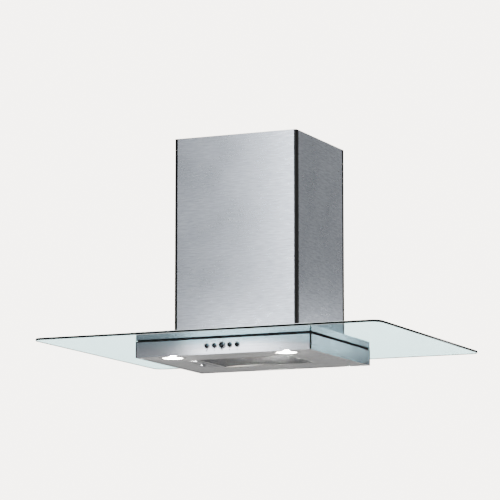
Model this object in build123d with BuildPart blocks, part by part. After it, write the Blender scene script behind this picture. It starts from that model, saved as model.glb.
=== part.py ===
from build123d import *
import os
from math import copysign

# Island range hood with a flat glass canopy, hanging from the ceiling.
# Millimetres, +Z up, front towards -Y. The origin is the centre of the ceiling plate's
# bolt pattern, on the face that meets the ceiling, so the whole hood lies below Z = 0.

os.makedirs("parts", exist_ok=True)

# ---------------------------------------------------------------- driving dimensions
# Glass canopy
GLASS_WIDTH = 900.0
GLASS_DEPTH = 700.0
GLASS_THICKNESS = 6.0
GLASS_CORNER = 25.0
GLASS_POLISH = 0.8
AIR_HOLE_WIDTH = 240.0
AIR_HOLE_DEPTH = 220.0
AIR_HOLE_CORNER = 20.0

# Lower body under the glass and steel tray on top of it, one footprint
BODY_WIDTH = 460.0
BODY_DEPTH = 382.0
BODY_HEIGHT = 37.0
TRAY_HEIGHT = 15.0
LOWER_GASKET = 3.0
UPPER_GASKET = 2.0
GASKET_BAND = 24.0
SHEET = 1.0
HEM = 8.0
TOP_FLANGE = 26.0
BODY_CORNER_FRONT = 3.0
BODY_CORNER_SIDE = 5.0
BODY_TONGUE = 6.0
GLASS_SCREW_INSET = 12.0
GLASS_SCREW_X = 150.0
GLASS_SCREW_Y = 90.0
GLASS_HOLE_RADIUS = 4.5
SCREW_RADIUS = 2.5
SCREW_CLEARANCE = 0.25

# Chimney cover and the telescopic parts inside it
COVER_WIDTH = 325.0
COVER_DEPTH = 305.0
COVER_HEIGHT = 485.0
CEILING_GAP = 1.0
COVER_CORNER_FRONT = 7.0
COVER_CORNER_SIDE = 12.0
COVER_TONGUE = 12.0
PROFILE_THICKNESS = 3.0
SLEEVE_CLEARANCE = 1.5
SLEEVE_BOTTOM_GAP = 85.0
SLEEVE_SEAM = 0.4
PLATE_THICKNESS = 2.5
PLATE_FLANGE = 20.0
PLATE_FLANGE_WALL = 2.0
CEILING_BOLT_EDGE_X = 57.0
CEILING_BOLT_EDGE_Y = 32.0
CEILING_BOLT_RADIUS = 4.25
LEG_WALL = 2.0
UPPER_LEG_SIZE = 25.0
LEG_BOTTOM_GAP = 53.5
LEG_OVERLAP = 80.0
LOWER_LEG_SIZE = 22.0
LEG_SET_IN = 5.0
LEG_SLIDE_GAP = 0.25
LEG_TOP_GAP = 5.5
CLAMP_BOLT_DROP = 20.0
CLAMP_BOLT_SET = 14.0
CLAMP_HEAD = 2.5
CLAMP_NUT = 4.0
SLOT_CLEARANCE = 0.5

# Plenum box, blower and outlet
PLENUM_SIDE_GAP = 9.75
PLENUM_LEG_GAP = 1.75
PLENUM_HEIGHT = 270.0
PLENUM_FLANGE = 8.0
PLENUM_FLANGE_SPAN = 180.0
SCROLL_WIDTH = 120.0
SCROLL_AXIS_Y = -30.0
SCROLL_AXIS_DROP = 139.0
SCROLL_MARGIN = 36.0
SCROLL_STEP = 8.0
INLET_LIP = 5.0
CUT_OFF_GAP = 10.0
IMPELLER_SIDE_GAP = 6.0
BLADE_COUNT = 30
BLADE_DEPTH = 12.0
BLADE_THICKNESS = 1.2
BLADE_ANGLE = 35.0
MOTOR_AIR_GAP = 18.0
MOTOR_START = -78.0
MOTOR_END = -2.0
SHAFT_RADIUS = 4.0
SHAFT_GAP = 0.3
DISC_START = 2.0
DISC_END = 4.0
HUB_END = 20.0
BRACKET_REACH = 8.0
BRACKET_WALL = 2.0
OUTLET_RADIUS = 75.0
OUTLET_WALL = 1.0
OUTLET_HEIGHT = 60.0
OUTLET_FLANGE_BAND = 10.0
OUTLET_BASE = 1.2
FLAP_PIN_RISE = 18.0
FLAP_PIN_RADIUS = 1.5
FLAP_THICKNESS = 1.0
FLAP_EDGE_GAP = 1.2
FLAP_SET_BACK = 3.4
KNUCKLE_WALL = 1.2
KNUCKLE_LENGTH = 12.0
RUNNING_GAP = 0.3

# Grease filter, its opening and its latch
PAN_SIDE_STRIP = 80.0
PAN_FRONT_STRIP = 88.0
FILTER_GAP = 1.0
FILTER_THICKNESS = 11.0
FILTER_RAIL = 16.0
FILTER_HINGE_RAIL = 21.0
FILTER_LATCH_RAIL = 36.0
MESH_THICKNESS = 8.0
OPENING_RIM = 14.0
HINGE_PIN_RADIUS = 2.0
HINGE_PIN_REACH = 4.0
LATCH_PLATE_X = 22.0
LATCH_PLATE_Y = 136.0
LATCH_PLATE_THICKNESS = 1.2
LATCH_INSET = 5.0
LATCH_TRAVEL = 4.0
SLIDER_X = 12.0
SLIDER_Y = 28.0
SLIDER_Z = 5.4
POCKET_DEPTH = 6.0
NOSE_Y = 28.0
NOSE_Z = 3.0
NOSE_REACH = 3.0
NOTCH_MARGIN = 10.0
NOTCH_DEPTH = 4.5
GRIP_X = 4.0
GRIP_Y = 22.0
GRIP_DROP = 7.0

# Lamps
LAMP_X = 150.0
LAMP_INSET = 42.0
LAMP_HOLE_RADIUS = 29.0
LAMP_RING_RADIUS = 33.0
LAMP_RING_DROP = 1.2
LAMP_LENS_RADIUS = 26.8
LAMP_LENS_LIP = 25.0
LAMP_HOUSING_RADIUS = 32.0
LAMP_HOUSING_HEADROOM = 14.0

# Controls
BUTTON_PITCH = 20.0
BUTTON_ABOVE_CENTRE = 2.0
BUTTON_RADII = (5.5, 5.5, 8.0, 5.5, 5.5)
BUTTON_PROUD = 2.6
BEZEL_BAND = 1.0
BEZEL_PROUD = 0.8
INDICATOR_DROP = 11.7
INDICATOR_RADIUS = 1.3
CARRIER_WIDTH = 112.0
CARRIER_DEPTH = 8.0
CARRIER_RISE = 3.0
CARRIER_HEADROOM = 4.5
BOARD_SET_BACK = 20.0
BOARD_THICKNESS = 1.6
SWITCH_SIZE = 8.0
SWITCH_DEPTH = 5.0

# Electrical boxes
POWER_BOX_LENGTH = 120.0
POWER_BOX_DEPTH = 60.0
POWER_BOX_HEADROOM = 11.0
POWER_BOX_X = -110.0
POWER_LID = 1.5
DRIVER_LENGTH = 80.0
DRIVER_DEPTH = 40.0
DRIVER_HEADROOM = 15.0
DRIVER_X = 110.0
ELECTRIC_INSET = 46.0
TERMINAL_LENGTH = 50.0
TERMINAL_DEPTH = 50.0
TERMINAL_HEIGHT = 28.0
TERMINAL_EDGE = 15.0
SUPPLY_SET_BACK = 27.0
GLAND_RADIUS = 9.0
GLAND_BORE_RADIUS = 4.0
GLAND_NUT_HEIGHT = 6.0
GLAND_CAP_HEIGHT = 12.0
CABLE_HOLE_RADIUS = 10.0
CAPACITOR_RADIUS = 16.0
CAPACITOR_LENGTH = 64.0
CAPACITOR_EDGE = 20.0
CAPACITOR_CLIP_REACH = 25.0

# ---------------------------------------------------------------- levels and shared places
cover_top = -CEILING_GAP
tray_top = cover_top - COVER_HEIGHT
tray_bottom = tray_top - TRAY_HEIGHT
glass_top = tray_bottom - UPPER_GASKET
glass_bottom = glass_top - GLASS_THICKNESS
body_top = glass_bottom - LOWER_GASKET
body_bottom = body_top - BODY_HEIGHT

# The body's back is flush with the back of the chimney cover.
body_back = COVER_DEPTH / 2
body_front = body_back - BODY_DEPTH
body_y = (body_front + body_back) / 2

sleeve_width = COVER_WIDTH - 2 * (PROFILE_THICKNESS + SLEEVE_CLEARANCE)
sleeve_depth = COVER_DEPTH - 2 * (PROFILE_THICKNESS + SLEEVE_CLEARANCE)
plate_width = sleeve_width - 2 * SHEET
plate_depth = sleeve_depth - 2 * SHEET
upper_leg_x = plate_width / 2 - LEG_SET_IN
upper_leg_y = plate_depth / 2 - LEG_SET_IN
lower_leg_x = upper_leg_x - LEG_WALL - LEG_SLIDE_GAP
lower_leg_y = upper_leg_y - LEG_WALL - LEG_SLIDE_GAP
upper_leg_length = -tray_top - PLATE_THICKNESS - LEG_BOTTOM_GAP
travel = upper_leg_length - LEG_OVERLAP
sleeve_length = COVER_HEIGHT - SLEEVE_BOTTOM_GAP
ceiling_bolt_x = plate_width - 2 * CEILING_BOLT_EDGE_X
ceiling_bolt_y = plate_depth - 2 * CEILING_BOLT_EDGE_Y
CORNERS = [(-1, -1), (1, -1), (-1, 1), (1, 1)]

plenum_half_x = lower_leg_x - PLENUM_SIDE_GAP
plenum_half_y = lower_leg_y - LOWER_LEG_SIZE - PLENUM_LEG_GAP
scroll_radius = plenum_half_y - SCROLL_MARGIN
impeller_radius = scroll_radius - CUT_OFF_GAP
impeller_width = SCROLL_WIDTH - 2 * IMPELLER_SIDE_GAP
inlet_radius = impeller_radius - BLADE_DEPTH
motor_radius = inlet_radius - MOTOR_AIR_GAP
bracket_radius = inlet_radius + BRACKET_REACH
plenum_top = tray_top + PLENUM_HEIGHT
scroll_z = plenum_top - SCROLL_AXIS_DROP
outlet_front_y = SCROLL_AXIS_Y + SCROLL_STEP
outlet_back_y = SCROLL_AXIS_Y + scroll_radius + 3 * SCROLL_STEP
outlet_y = (outlet_front_y + outlet_back_y) / 2
spigot_bottom = plenum_top + OUTLET_BASE
flap_z = spigot_bottom + FLAP_PIN_RISE

pan_bottom = body_bottom + SHEET
pan_top = pan_bottom + SHEET
opening_x = BODY_WIDTH / 2 - PAN_SIDE_STRIP
opening_y = BODY_DEPTH / 2 - PAN_FRONT_STRIP
filter_x = opening_x - FILTER_GAP
filter_y = opening_y - FILTER_GAP
hinge_x = filter_x - FILTER_THICKNESS / 2
hinge_z = pan_bottom + FILTER_THICKNESS / 2
lamp_y = body_front + LAMP_INSET
electric_y = body_back - ELECTRIC_INSET
button_z = body_bottom + BODY_HEIGHT / 2 + BUTTON_ABOVE_CENTRE
indicator_z = button_z - INDICATOR_DROP
carrier_height = BODY_HEIGHT - CARRIER_RISE - CARRIER_HEADROOM
lamp_housing_height = BODY_HEIGHT - 2 * SHEET - LAMP_HOUSING_HEADROOM
power_box_height = BODY_HEIGHT - 2 * SHEET - POWER_BOX_HEADROOM
driver_height = BODY_HEIGHT - 2 * SHEET - DRIVER_HEADROOM
supply_y = SUPPLY_SET_BACK - plenum_half_y
terminal_x = TERMINAL_EDGE + TERMINAL_LENGTH / 2 - plenum_half_x
capacitor_x = plenum_half_x - CAPACITOR_EDGE - CAPACITOR_LENGTH / 2
BUTTON_X = [(index - 2) * BUTTON_PITCH for index in range(5)]
ring_x = BODY_WIDTH / 2 - GLASS_SCREW_INSET
ring_y = BODY_DEPTH / 2 - GLASS_SCREW_INSET
GLASS_SCREWS = [(sx * GLASS_SCREW_X, body_y + sy * ring_y) for sx, sy in CORNERS]
GLASS_SCREWS += [(sx * ring_x, body_y + sy * GLASS_SCREW_Y) for sx, sy in CORNERS]


def finish(builder, label):
    """Label a finished piece and write it as its own STEP file."""
    builder.part.label = label
    export_step(builder.part, f"parts/{label}.step")


def angle_section(x_out, y_out, leg, wall):
    """Draw an L section with its outer corner at (x_out, y_out), open towards the centre."""
    side_x = copysign(1, x_out)
    side_y = copysign(1, y_out)
    with Locations((x_out - side_x * leg / 2, y_out - side_y * wall / 2)):
        Rectangle(leg, wall)
    with Locations((x_out - side_x * wall / 2, y_out - side_y * leg / 2)):
        Rectangle(wall, leg)


def span_rectangle(x0, x1, y0, y1, mode=Mode.ADD):
    """Draw a rectangle in the current sketch from its lower and upper corners."""
    with Locations(((x0 + x1) / 2, (y0 + y1) / 2)):
        Rectangle(abs(x1 - x0), abs(y1 - y0), mode=mode)


def span_box(x0, x1, y0, y1, z0, z1, mode=Mode.ADD):
    """Add or cut a box in the current part from its lower and upper corners."""
    with Locations(((x0 + x1) / 2, (y0 + y1) / 2, (z0 + z1) / 2)):
        Box(abs(x1 - x0), abs(y1 - y0), abs(z1 - z0), mode=mode)


def ring_plate(z0, thickness, band, hole_radius):
    """Flat ring with the body's footprint and the eight glass screw holes."""
    with BuildPart() as ring:
        with BuildSketch(Plane.XY.offset(z0)):
            with Locations((0, body_y)):
                Rectangle(BODY_WIDTH, BODY_DEPTH)
                Rectangle(BODY_WIDTH - 2 * band, BODY_DEPTH - 2 * band, mode=Mode.SUBTRACT)
            with Locations(*GLASS_SCREWS):
                Circle(hole_radius, mode=Mode.SUBTRACT)
        extrude(amount=thickness)
    return ring


# ---------------------------------------------------------------- ceiling side
with BuildPart() as ceiling_plate:
    with BuildSketch(Plane.XY.offset(-PLATE_FLANGE)):
        Rectangle(plate_width, plate_depth)
    extrude(amount=PLATE_FLANGE)
    with BuildSketch(Plane.XY.offset(-PLATE_FLANGE)):
        Rectangle(plate_width - 2 * PLATE_FLANGE_WALL, plate_depth - 2 * PLATE_FLANGE_WALL)
    extrude(amount=PLATE_FLANGE - PLATE_THICKNESS, mode=Mode.SUBTRACT)
    with BuildSketch(Plane.XY):
        with Locations((0, outlet_y)):
            Circle(OUTLET_RADIUS + OUTLET_FLANGE_BAND)
        with GridLocations(ceiling_bolt_x, ceiling_bolt_y, 2, 2):
            Circle(CEILING_BOLT_RADIUS)
        with Locations((terminal_x, supply_y)):
            Circle(CABLE_HOLE_RADIUS)
    extrude(amount=-PLATE_THICKNESS, mode=Mode.SUBTRACT)
finish(ceiling_plate, "ceiling_plate")

slot_top = -LEG_TOP_GAP - CLAMP_BOLT_DROP + 2 * SCREW_RADIUS
slot_length = travel + 4 * SCREW_RADIUS
slot_x = lower_leg_x - CLAMP_BOLT_SET
with BuildPart() as upper_legs:
    with BuildSketch(Plane.XY.offset(-PLATE_THICKNESS)):
        for side_x, side_y in CORNERS:
            angle_section(side_x * upper_leg_x, side_y * upper_leg_y, UPPER_LEG_SIZE, LEG_WALL)
    extrude(amount=-upper_leg_length)
    with BuildSketch(Plane.XZ):
        with Locations((slot_x, slot_top - slot_length / 2), (-slot_x, slot_top - slot_length / 2)):
            SlotOverall(slot_length, 2 * (SCREW_RADIUS + SLOT_CLEARANCE), rotation=90)
    extrude(amount=plate_depth / 2, both=True, mode=Mode.SUBTRACT)
finish(upper_legs, "upper_legs")

for sleeve_name, side in (("upper_sleeve_front", -1), ("upper_sleeve_rear", 1)):
    with BuildPart() as sleeve:
        with BuildSketch(Plane.XY.offset(cover_top)):
            RectangleRounded(sleeve_width, sleeve_depth, 1.8)
            Rectangle(sleeve_width - 2 * SHEET, sleeve_depth - 2 * SHEET, mode=Mode.SUBTRACT)
            with Locations((0, -side * (sleeve_depth - SLEEVE_SEAM) / 2)):
                Rectangle(sleeve_width, sleeve_depth, mode=Mode.SUBTRACT)
        extrude(amount=-sleeve_length)
    finish(sleeve, sleeve_name)

# ---------------------------------------------------------------- chimney cover
panel_half_x = COVER_WIDTH / 2 - COVER_CORNER_FRONT
panel_half_y = COVER_DEPTH / 2 - COVER_CORNER_SIDE
for panel_name, side in (("chimney_front_panel", -1), ("chimney_rear_panel", 1)):
    with BuildPart() as face_panel:
        with BuildSketch(Plane.XY.offset(tray_top)):
            with Locations((0, side * (COVER_DEPTH - SHEET) / 2)):
                Rectangle(2 * panel_half_x, SHEET)
        extrude(amount=COVER_HEIGHT)
    finish(face_panel, panel_name)

for panel_name, side in (("chimney_left_panel", -1), ("chimney_right_panel", 1)):
    with BuildPart() as side_panel:
        with BuildSketch(Plane.XY.offset(tray_top)):
            with Locations((side * (COVER_WIDTH - SHEET) / 2, 0)):
                Rectangle(SHEET, 2 * panel_half_y)
        extrude(amount=COVER_HEIGHT)
    finish(side_panel, panel_name)


def corner_profile(side_x, side_y, width, depth, centre_y, front_leg, side_leg):
    """Draw the visible L of a corner profile, rounded on its outer corner."""
    x_out = side_x * width / 2
    y_out = centre_y + side_y * depth / 2
    x_in = x_out - side_x * PROFILE_THICKNESS
    y_in = y_out - side_y * PROFILE_THICKNESS
    Polygon(
        (x_out - side_x, y_out),
        (x_out - side_x * front_leg, y_out),
        (x_out - side_x * front_leg, y_in),
        (x_in, y_in),
        (x_in, y_out - side_y * side_leg),
        (x_out, y_out - side_y * side_leg),
        (x_out, y_out - side_y),
        align=None,
    )


def corner_tongues(side_x, side_y, width, depth, centre_y, front_leg, side_leg, tongue):
    """Draw the two tongues of a corner profile that lie behind the neighbouring panels."""
    x_out = side_x * width / 2
    y_out = centre_y + side_y * depth / 2
    span_rectangle(
        x_out - side_x * PROFILE_THICKNESS,
        x_out - side_x * (front_leg + tongue),
        y_out - side_y * SHEET,
        y_out - side_y * PROFILE_THICKNESS,
    )
    span_rectangle(
        x_out - side_x * SHEET,
        x_out - side_x * PROFILE_THICKNESS,
        y_out - side_y * PROFILE_THICKNESS,
        y_out - side_y * (side_leg + tongue),
    )


cover_corner = (COVER_WIDTH, COVER_DEPTH, 0, COVER_CORNER_FRONT, COVER_CORNER_SIDE)
with BuildPart() as chimney_corners:
    for side_x, side_y in CORNERS:
        with BuildSketch(Plane.XY.offset(tray_top)):
            corner_profile(side_x, side_y, *cover_corner)
            corner_tongues(side_x, side_y, *cover_corner, COVER_TONGUE)
        extrude(amount=COVER_HEIGHT)
finish(chimney_corners, "chimney_corners")

# ---------------------------------------------------------------- lower frame legs
lower_leg_top = -LEG_TOP_GAP
with BuildPart() as lower_legs:
    with BuildSketch(Plane.XY.offset(tray_top)):
        for side_x, side_y in CORNERS:
            angle_section(side_x * lower_leg_x, side_y * lower_leg_y, LOWER_LEG_SIZE, LEG_WALL)
    extrude(amount=lower_leg_top - tray_top)
    with BuildSketch(Plane.XY.offset(tray_top)):
        for side_x, side_y in CORNERS:
            x_out = side_x * lower_leg_x
            y_out = side_y * lower_leg_y
            foot_x = x_out - side_x * LOWER_LEG_SIZE
            foot_y = y_out - side_y * LOWER_LEG_SIZE
            span_rectangle(x_out, foot_x, y_out, foot_y)
        with GridLocations(2 * lower_leg_x - LOWER_LEG_SIZE, 2 * lower_leg_y - LOWER_LEG_SIZE, 2, 2):
            Circle(SCREW_RADIUS + SCREW_CLEARANCE, mode=Mode.SUBTRACT)
    extrude(amount=LEG_WALL)
    bolt_z = lower_leg_top - CLAMP_BOLT_DROP
    with BuildSketch(Plane.XZ):
        with Locations((slot_x, bolt_z), (-slot_x, bolt_z)):
            Circle(SCREW_RADIUS)
    extrude(amount=plate_depth / 2, both=True, mode=Mode.SUBTRACT)
finish(lower_legs, "lower_legs")

# One clamp bolt through each pair of legs, head outside and nut inside.
with BuildPart() as clamp_bolts:
    for side_x, side_y in CORNERS:
        head_plane = Plane(
            origin=(side_x * slot_x, side_y * (upper_leg_y + LEG_SLIDE_GAP), bolt_z),
            z_dir=(0, side_y, 0),
        )
        nut_depth = 2 * LEG_WALL + 2 * LEG_SLIDE_GAP
        with BuildSketch(head_plane):
            Circle(2 * SCREW_RADIUS)
        extrude(amount=CLAMP_HEAD)
        with BuildSketch(head_plane):
            Circle(SCREW_RADIUS)
        extrude(amount=-nut_depth - CLAMP_NUT - 1)
        with BuildSketch(head_plane.offset(-nut_depth)):
            RegularPolygon(2 * SCREW_RADIUS, 6)
        extrude(amount=-CLAMP_NUT)
finish(clamp_bolts, "clamp_bolts")

leg_screw_grid = (2 * lower_leg_x - LOWER_LEG_SIZE, 2 * lower_leg_y - LOWER_LEG_SIZE, 2, 2)

# ---------------------------------------------------------------- tray, gaskets and glass
with BuildPart() as upper_tray:
    span_box(
        -BODY_WIDTH / 2, BODY_WIDTH / 2, body_front, body_back, tray_bottom, tray_top
    )
    fillet(upper_tray.edges().filter_by(Axis.Z), 3)
    with BuildSketch(Plane.XY.offset(tray_bottom + SHEET)):
        with Locations((0, body_y)):
            RectangleRounded(BODY_WIDTH - 2 * SHEET, BODY_DEPTH - 2 * SHEET, 2)
    extrude(amount=TRAY_HEIGHT - 2 * SHEET, mode=Mode.SUBTRACT)
    with BuildSketch(Plane.XY.offset(tray_bottom)):
        with Locations((0, body_y)):
            Rectangle(BODY_WIDTH - 2 * TOP_FLANGE, BODY_DEPTH - 2 * TOP_FLANGE)
        with Locations(*GLASS_SCREWS):
            Circle(SCREW_RADIUS + SCREW_CLEARANCE)
    extrude(amount=SHEET, mode=Mode.SUBTRACT)
    with BuildSketch(Plane.XY.offset(tray_top)):
        RectangleRounded(AIR_HOLE_WIDTH, AIR_HOLE_DEPTH, AIR_HOLE_CORNER)
        with GridLocations(*leg_screw_grid):
            Circle(SCREW_RADIUS + SCREW_CLEARANCE)
    extrude(amount=-SHEET, mode=Mode.SUBTRACT)
finish(upper_tray, "upper_tray")

upper_gasket = ring_plate(glass_top, UPPER_GASKET, GASKET_BAND, GLASS_HOLE_RADIUS)
finish(upper_gasket, "upper_gasket")

with BuildPart() as glass_canopy:
    with BuildSketch(Plane.XY.offset(glass_bottom)):
        RectangleRounded(GLASS_WIDTH, GLASS_DEPTH, GLASS_CORNER)
    extrude(amount=GLASS_THICKNESS)
    rim_faces = glass_canopy.faces().filter_by(Axis.Z)
    chamfer(rim_faces.edges(), GLASS_POLISH)
    with BuildSketch(Plane.XY.offset(glass_bottom)):
        RectangleRounded(AIR_HOLE_WIDTH, AIR_HOLE_DEPTH, AIR_HOLE_CORNER)
        with Locations(*GLASS_SCREWS):
            Circle(GLASS_HOLE_RADIUS)
    extrude(amount=GLASS_THICKNESS, mode=Mode.SUBTRACT)
finish(glass_canopy, "glass_canopy")

lower_gasket = ring_plate(body_top, LOWER_GASKET, GASKET_BAND, GLASS_HOLE_RADIUS)
finish(lower_gasket, "lower_gasket")

# Nylon sleeves keep the screws off the glass.
with BuildPart() as glass_sleeves:
    with BuildSketch(Plane.XY.offset(body_top)):
        with Locations(*GLASS_SCREWS):
            Circle(GLASS_HOLE_RADIUS - 0.1)
            Circle(SCREW_RADIUS + 0.1, mode=Mode.SUBTRACT)
    extrude(amount=tray_bottom - body_top)
finish(glass_sleeves, "glass_sleeves")

# M5 screws: four hold the leg feet to the tray, eight clamp the tray and body to the glass.
with BuildPart() as frame_screws:
    with BuildSketch(Plane.XY.offset(tray_top + LEG_WALL)):
        with GridLocations(*leg_screw_grid):
            Circle(2 * SCREW_RADIUS)
    extrude(amount=3)
    with BuildSketch(Plane.XY.offset(tray_top + LEG_WALL)):
        with GridLocations(*leg_screw_grid):
            Circle(SCREW_RADIUS)
    extrude(amount=-LEG_WALL - SHEET - 4)
    with BuildSketch(Plane.XY.offset(tray_top - SHEET)):
        with GridLocations(*leg_screw_grid):
            RegularPolygon(2 * SCREW_RADIUS, 6)
    extrude(amount=-3)
    with BuildSketch(Plane.XY.offset(body_top - SHEET)):
        with Locations(*GLASS_SCREWS):
            Circle(2 * SCREW_RADIUS)
    extrude(amount=-3)
    with BuildSketch(Plane.XY.offset(body_top - SHEET)):
        with Locations(*GLASS_SCREWS):
            Circle(SCREW_RADIUS)
    extrude(amount=tray_bottom - body_top + 2 * SHEET + 5)
    with BuildSketch(Plane.XY.offset(tray_bottom + SHEET)):
        with Locations(*GLASS_SCREWS):
            RegularPolygon(2 * SCREW_RADIUS, 6)
    extrude(amount=4)
finish(frame_screws, "frame_screws")

# ---------------------------------------------------------------- lower body
skirt_half_x = BODY_WIDTH / 2 - BODY_CORNER_FRONT
skirt_half_y = BODY_DEPTH / 2 - BODY_CORNER_SIDE


def cross_panel(side):
    """Front or rear wall of the body with its top flange and bottom hem."""
    outer = body_y + side * BODY_DEPTH / 2
    with BuildPart() as wall:
        inner = outer - side * SHEET
        span_box(-skirt_half_x, skirt_half_x, outer, inner, body_bottom, body_top)
        flange_x = BODY_WIDTH / 2 - TOP_FLANGE
        flange_in = outer - side * TOP_FLANGE
        span_box(-flange_x, flange_x, outer, flange_in, body_top - SHEET, body_top)
        hem_x = BODY_WIDTH / 2 - HEM
        span_box(-hem_x, hem_x, outer, outer - side * HEM, body_bottom, body_bottom + SHEET)
        with BuildSketch(Plane.XY.offset(body_top)):
            with Locations(*GLASS_SCREWS):
                Circle(SCREW_RADIUS + SCREW_CLEARANCE)
        extrude(amount=-SHEET, mode=Mode.SUBTRACT)
    return wall


rear_panel = cross_panel(1)
finish(rear_panel, "body_rear_panel")

plain_front = cross_panel(-1)
front_plane = Plane(origin=(0, body_front, 0), x_dir=(1, 0, 0), z_dir=(0, -1, 0))
with BuildPart() as fascia:
    add(plain_front.part)
    with BuildSketch(front_plane):
        for x, radius in zip(BUTTON_X, BUTTON_RADII):
            with Locations((x, button_z)):
                Circle(radius + BEZEL_BAND)
            with Locations((x, indicator_z)):
                Circle(INDICATOR_RADIUS + 0.1)
    extrude(amount=-SHEET, mode=Mode.SUBTRACT)
finish(fascia, "fascia")

for panel_name, side in (("body_left_panel", -1), ("body_right_panel", 1)):
    with BuildPart() as side_wall:
        outer = side * BODY_WIDTH / 2
        y0 = body_y - skirt_half_y
        y1 = body_y + skirt_half_y
        span_box(outer, outer - side * SHEET, y0, y1, body_bottom, body_top)
        span_box(outer, outer - side * TOP_FLANGE, y0, y1, body_top - SHEET, body_top)
        span_box(outer, outer - side * HEM, y0, y1, body_bottom, body_bottom + SHEET)
        with BuildSketch(Plane.XY.offset(body_top)):
            with Locations(*GLASS_SCREWS):
                Circle(SCREW_RADIUS + SCREW_CLEARANCE)
        extrude(amount=-SHEET, mode=Mode.SUBTRACT)
    finish(side_wall, panel_name)

body_corner = (BODY_WIDTH, BODY_DEPTH, body_y, BODY_CORNER_FRONT, BODY_CORNER_SIDE)
with BuildPart() as body_corners:
    for side_x, side_y in CORNERS:
        with BuildSketch(Plane.XY.offset(body_bottom)):
            corner_x = side_x * BODY_WIDTH / 2
            corner_y = body_y + side_y * BODY_DEPTH / 2
            span_rectangle(
                corner_x,
                corner_x - side_x * BODY_CORNER_FRONT,
                corner_y,
                corner_y - side_y * BODY_CORNER_SIDE,
            )
        extrude(amount=BODY_HEIGHT)
        with BuildSketch(Plane.XY.offset(body_bottom + SHEET)):
            corner_tongues(side_x, side_y, *body_corner, BODY_TONGUE)
        extrude(amount=BODY_HEIGHT - 2 * SHEET)
finish(body_corners, "body_corners")

# The underside pan rests on the hems and carries the lamps, boxes and grease filter.
pan_half_x = BODY_WIDTH / 2 - PROFILE_THICKNESS - 0.5
pan_half_y = BODY_DEPTH / 2 - PROFILE_THICKNESS - 0.5
with BuildPart() as underside_pan:
    with BuildSketch(Plane.XY.offset(pan_bottom)):
        with Locations((0, body_y)):
            Rectangle(2 * pan_half_x, 2 * pan_half_y)
            Rectangle(2 * opening_x, 2 * opening_y, mode=Mode.SUBTRACT)
        with Locations((-LAMP_X, lamp_y), (LAMP_X, lamp_y)):
            Circle(LAMP_HOLE_RADIUS, mode=Mode.SUBTRACT)
    extrude(amount=SHEET)
    with BuildSketch(Plane.XY.offset(pan_bottom)):
        with Locations((0, body_y)):
            Rectangle(2 * opening_x + 2 * SHEET, 2 * opening_y + 2 * SHEET)
            Rectangle(2 * opening_x, 2 * opening_y, mode=Mode.SUBTRACT)
    extrude(amount=OPENING_RIM)
    with BuildSketch(Plane.XZ.offset(-body_y)):
        with Locations((hinge_x, hinge_z)):
            Circle(HINGE_PIN_RADIUS + RUNNING_GAP)
    extrude(amount=opening_y + 2 * SHEET, both=True, mode=Mode.SUBTRACT)
    notch_half = NOSE_Y / 2 + NOTCH_MARGIN
    notch_in = -opening_x - NOTCH_DEPTH
    span_box(notch_in, -opening_x + 1, body_y - notch_half, body_y + notch_half,
             pan_bottom - 1, pan_bottom + OPENING_RIM + 1, mode=Mode.SUBTRACT)
finish(underside_pan, "underside_pan")

# Leaf spring whose ledge reaches in under the latch nose.
nose_bottom = pan_bottom + 1.5
nose_tip = -opening_x + RUNNING_GAP
ledge_in = nose_tip + NOSE_REACH
with BuildPart() as filter_catch:
    catch_half = NOSE_Y / 2 - 0.5
    ledge_out = notch_in + 0.2
    ledge_top = nose_bottom - RUNNING_GAP
    span_box(ledge_out, ledge_in, body_y - catch_half, body_y + catch_half,
             pan_bottom + 0.2, ledge_top)
    span_box(ledge_out - 14, ledge_out + 0.8, body_y - catch_half, body_y + catch_half,
             pan_top, pan_top + 0.8)
finish(filter_catch, "filter_catch")

# ---------------------------------------------------------------- lamps
LAMPS = [(-LAMP_X, lamp_y), (LAMP_X, lamp_y)]
ring_bottom = pan_bottom - LAMP_RING_DROP
lens_bottom = ring_bottom + 0.6
with BuildPart() as lamp_rings:
    with BuildSketch(Plane.XY.offset(ring_bottom)):
        with Locations(*LAMPS):
            Circle(LAMP_RING_RADIUS)
            Circle(LAMP_LENS_LIP, mode=Mode.SUBTRACT)
    extrude(amount=LAMP_RING_DROP)
    chamfer(lamp_rings.edges().filter_by(GeomType.CIRCLE).group_by(Axis.Z)[0], 0.5)
    with BuildSketch(Plane.XY.offset(pan_bottom)):
        with Locations(*LAMPS):
            Circle(LAMP_HOLE_RADIUS - RUNNING_GAP)
    extrude(amount=9)
    with BuildSketch(Plane.XY.offset(lens_bottom)):
        with Locations(*LAMPS):
            Circle(LAMP_LENS_RADIUS + 0.2)
    extrude(amount=11, mode=Mode.SUBTRACT)
finish(lamp_rings, "lamp_rings")

with BuildPart() as lamp_lenses:
    with BuildSketch(Plane.XY.offset(lens_bottom)):
        with Locations(*LAMPS):
            Circle(LAMP_LENS_RADIUS)
    extrude(amount=3)
finish(lamp_lenses, "lamp_lenses")

with BuildPart() as lamp_housings:
    with BuildSketch(Plane.XY.offset(pan_top)):
        with Locations(*LAMPS):
            Circle(LAMP_HOUSING_RADIUS)
    extrude(amount=lamp_housing_height)
    with BuildSketch(Plane.XY.offset(pan_top)):
        with Locations(*LAMPS):
            Circle(LAMP_HOLE_RADIUS)
    extrude(amount=lamp_housing_height - 1.5, mode=Mode.SUBTRACT)
finish(lamp_housings, "lamp_housings")

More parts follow.
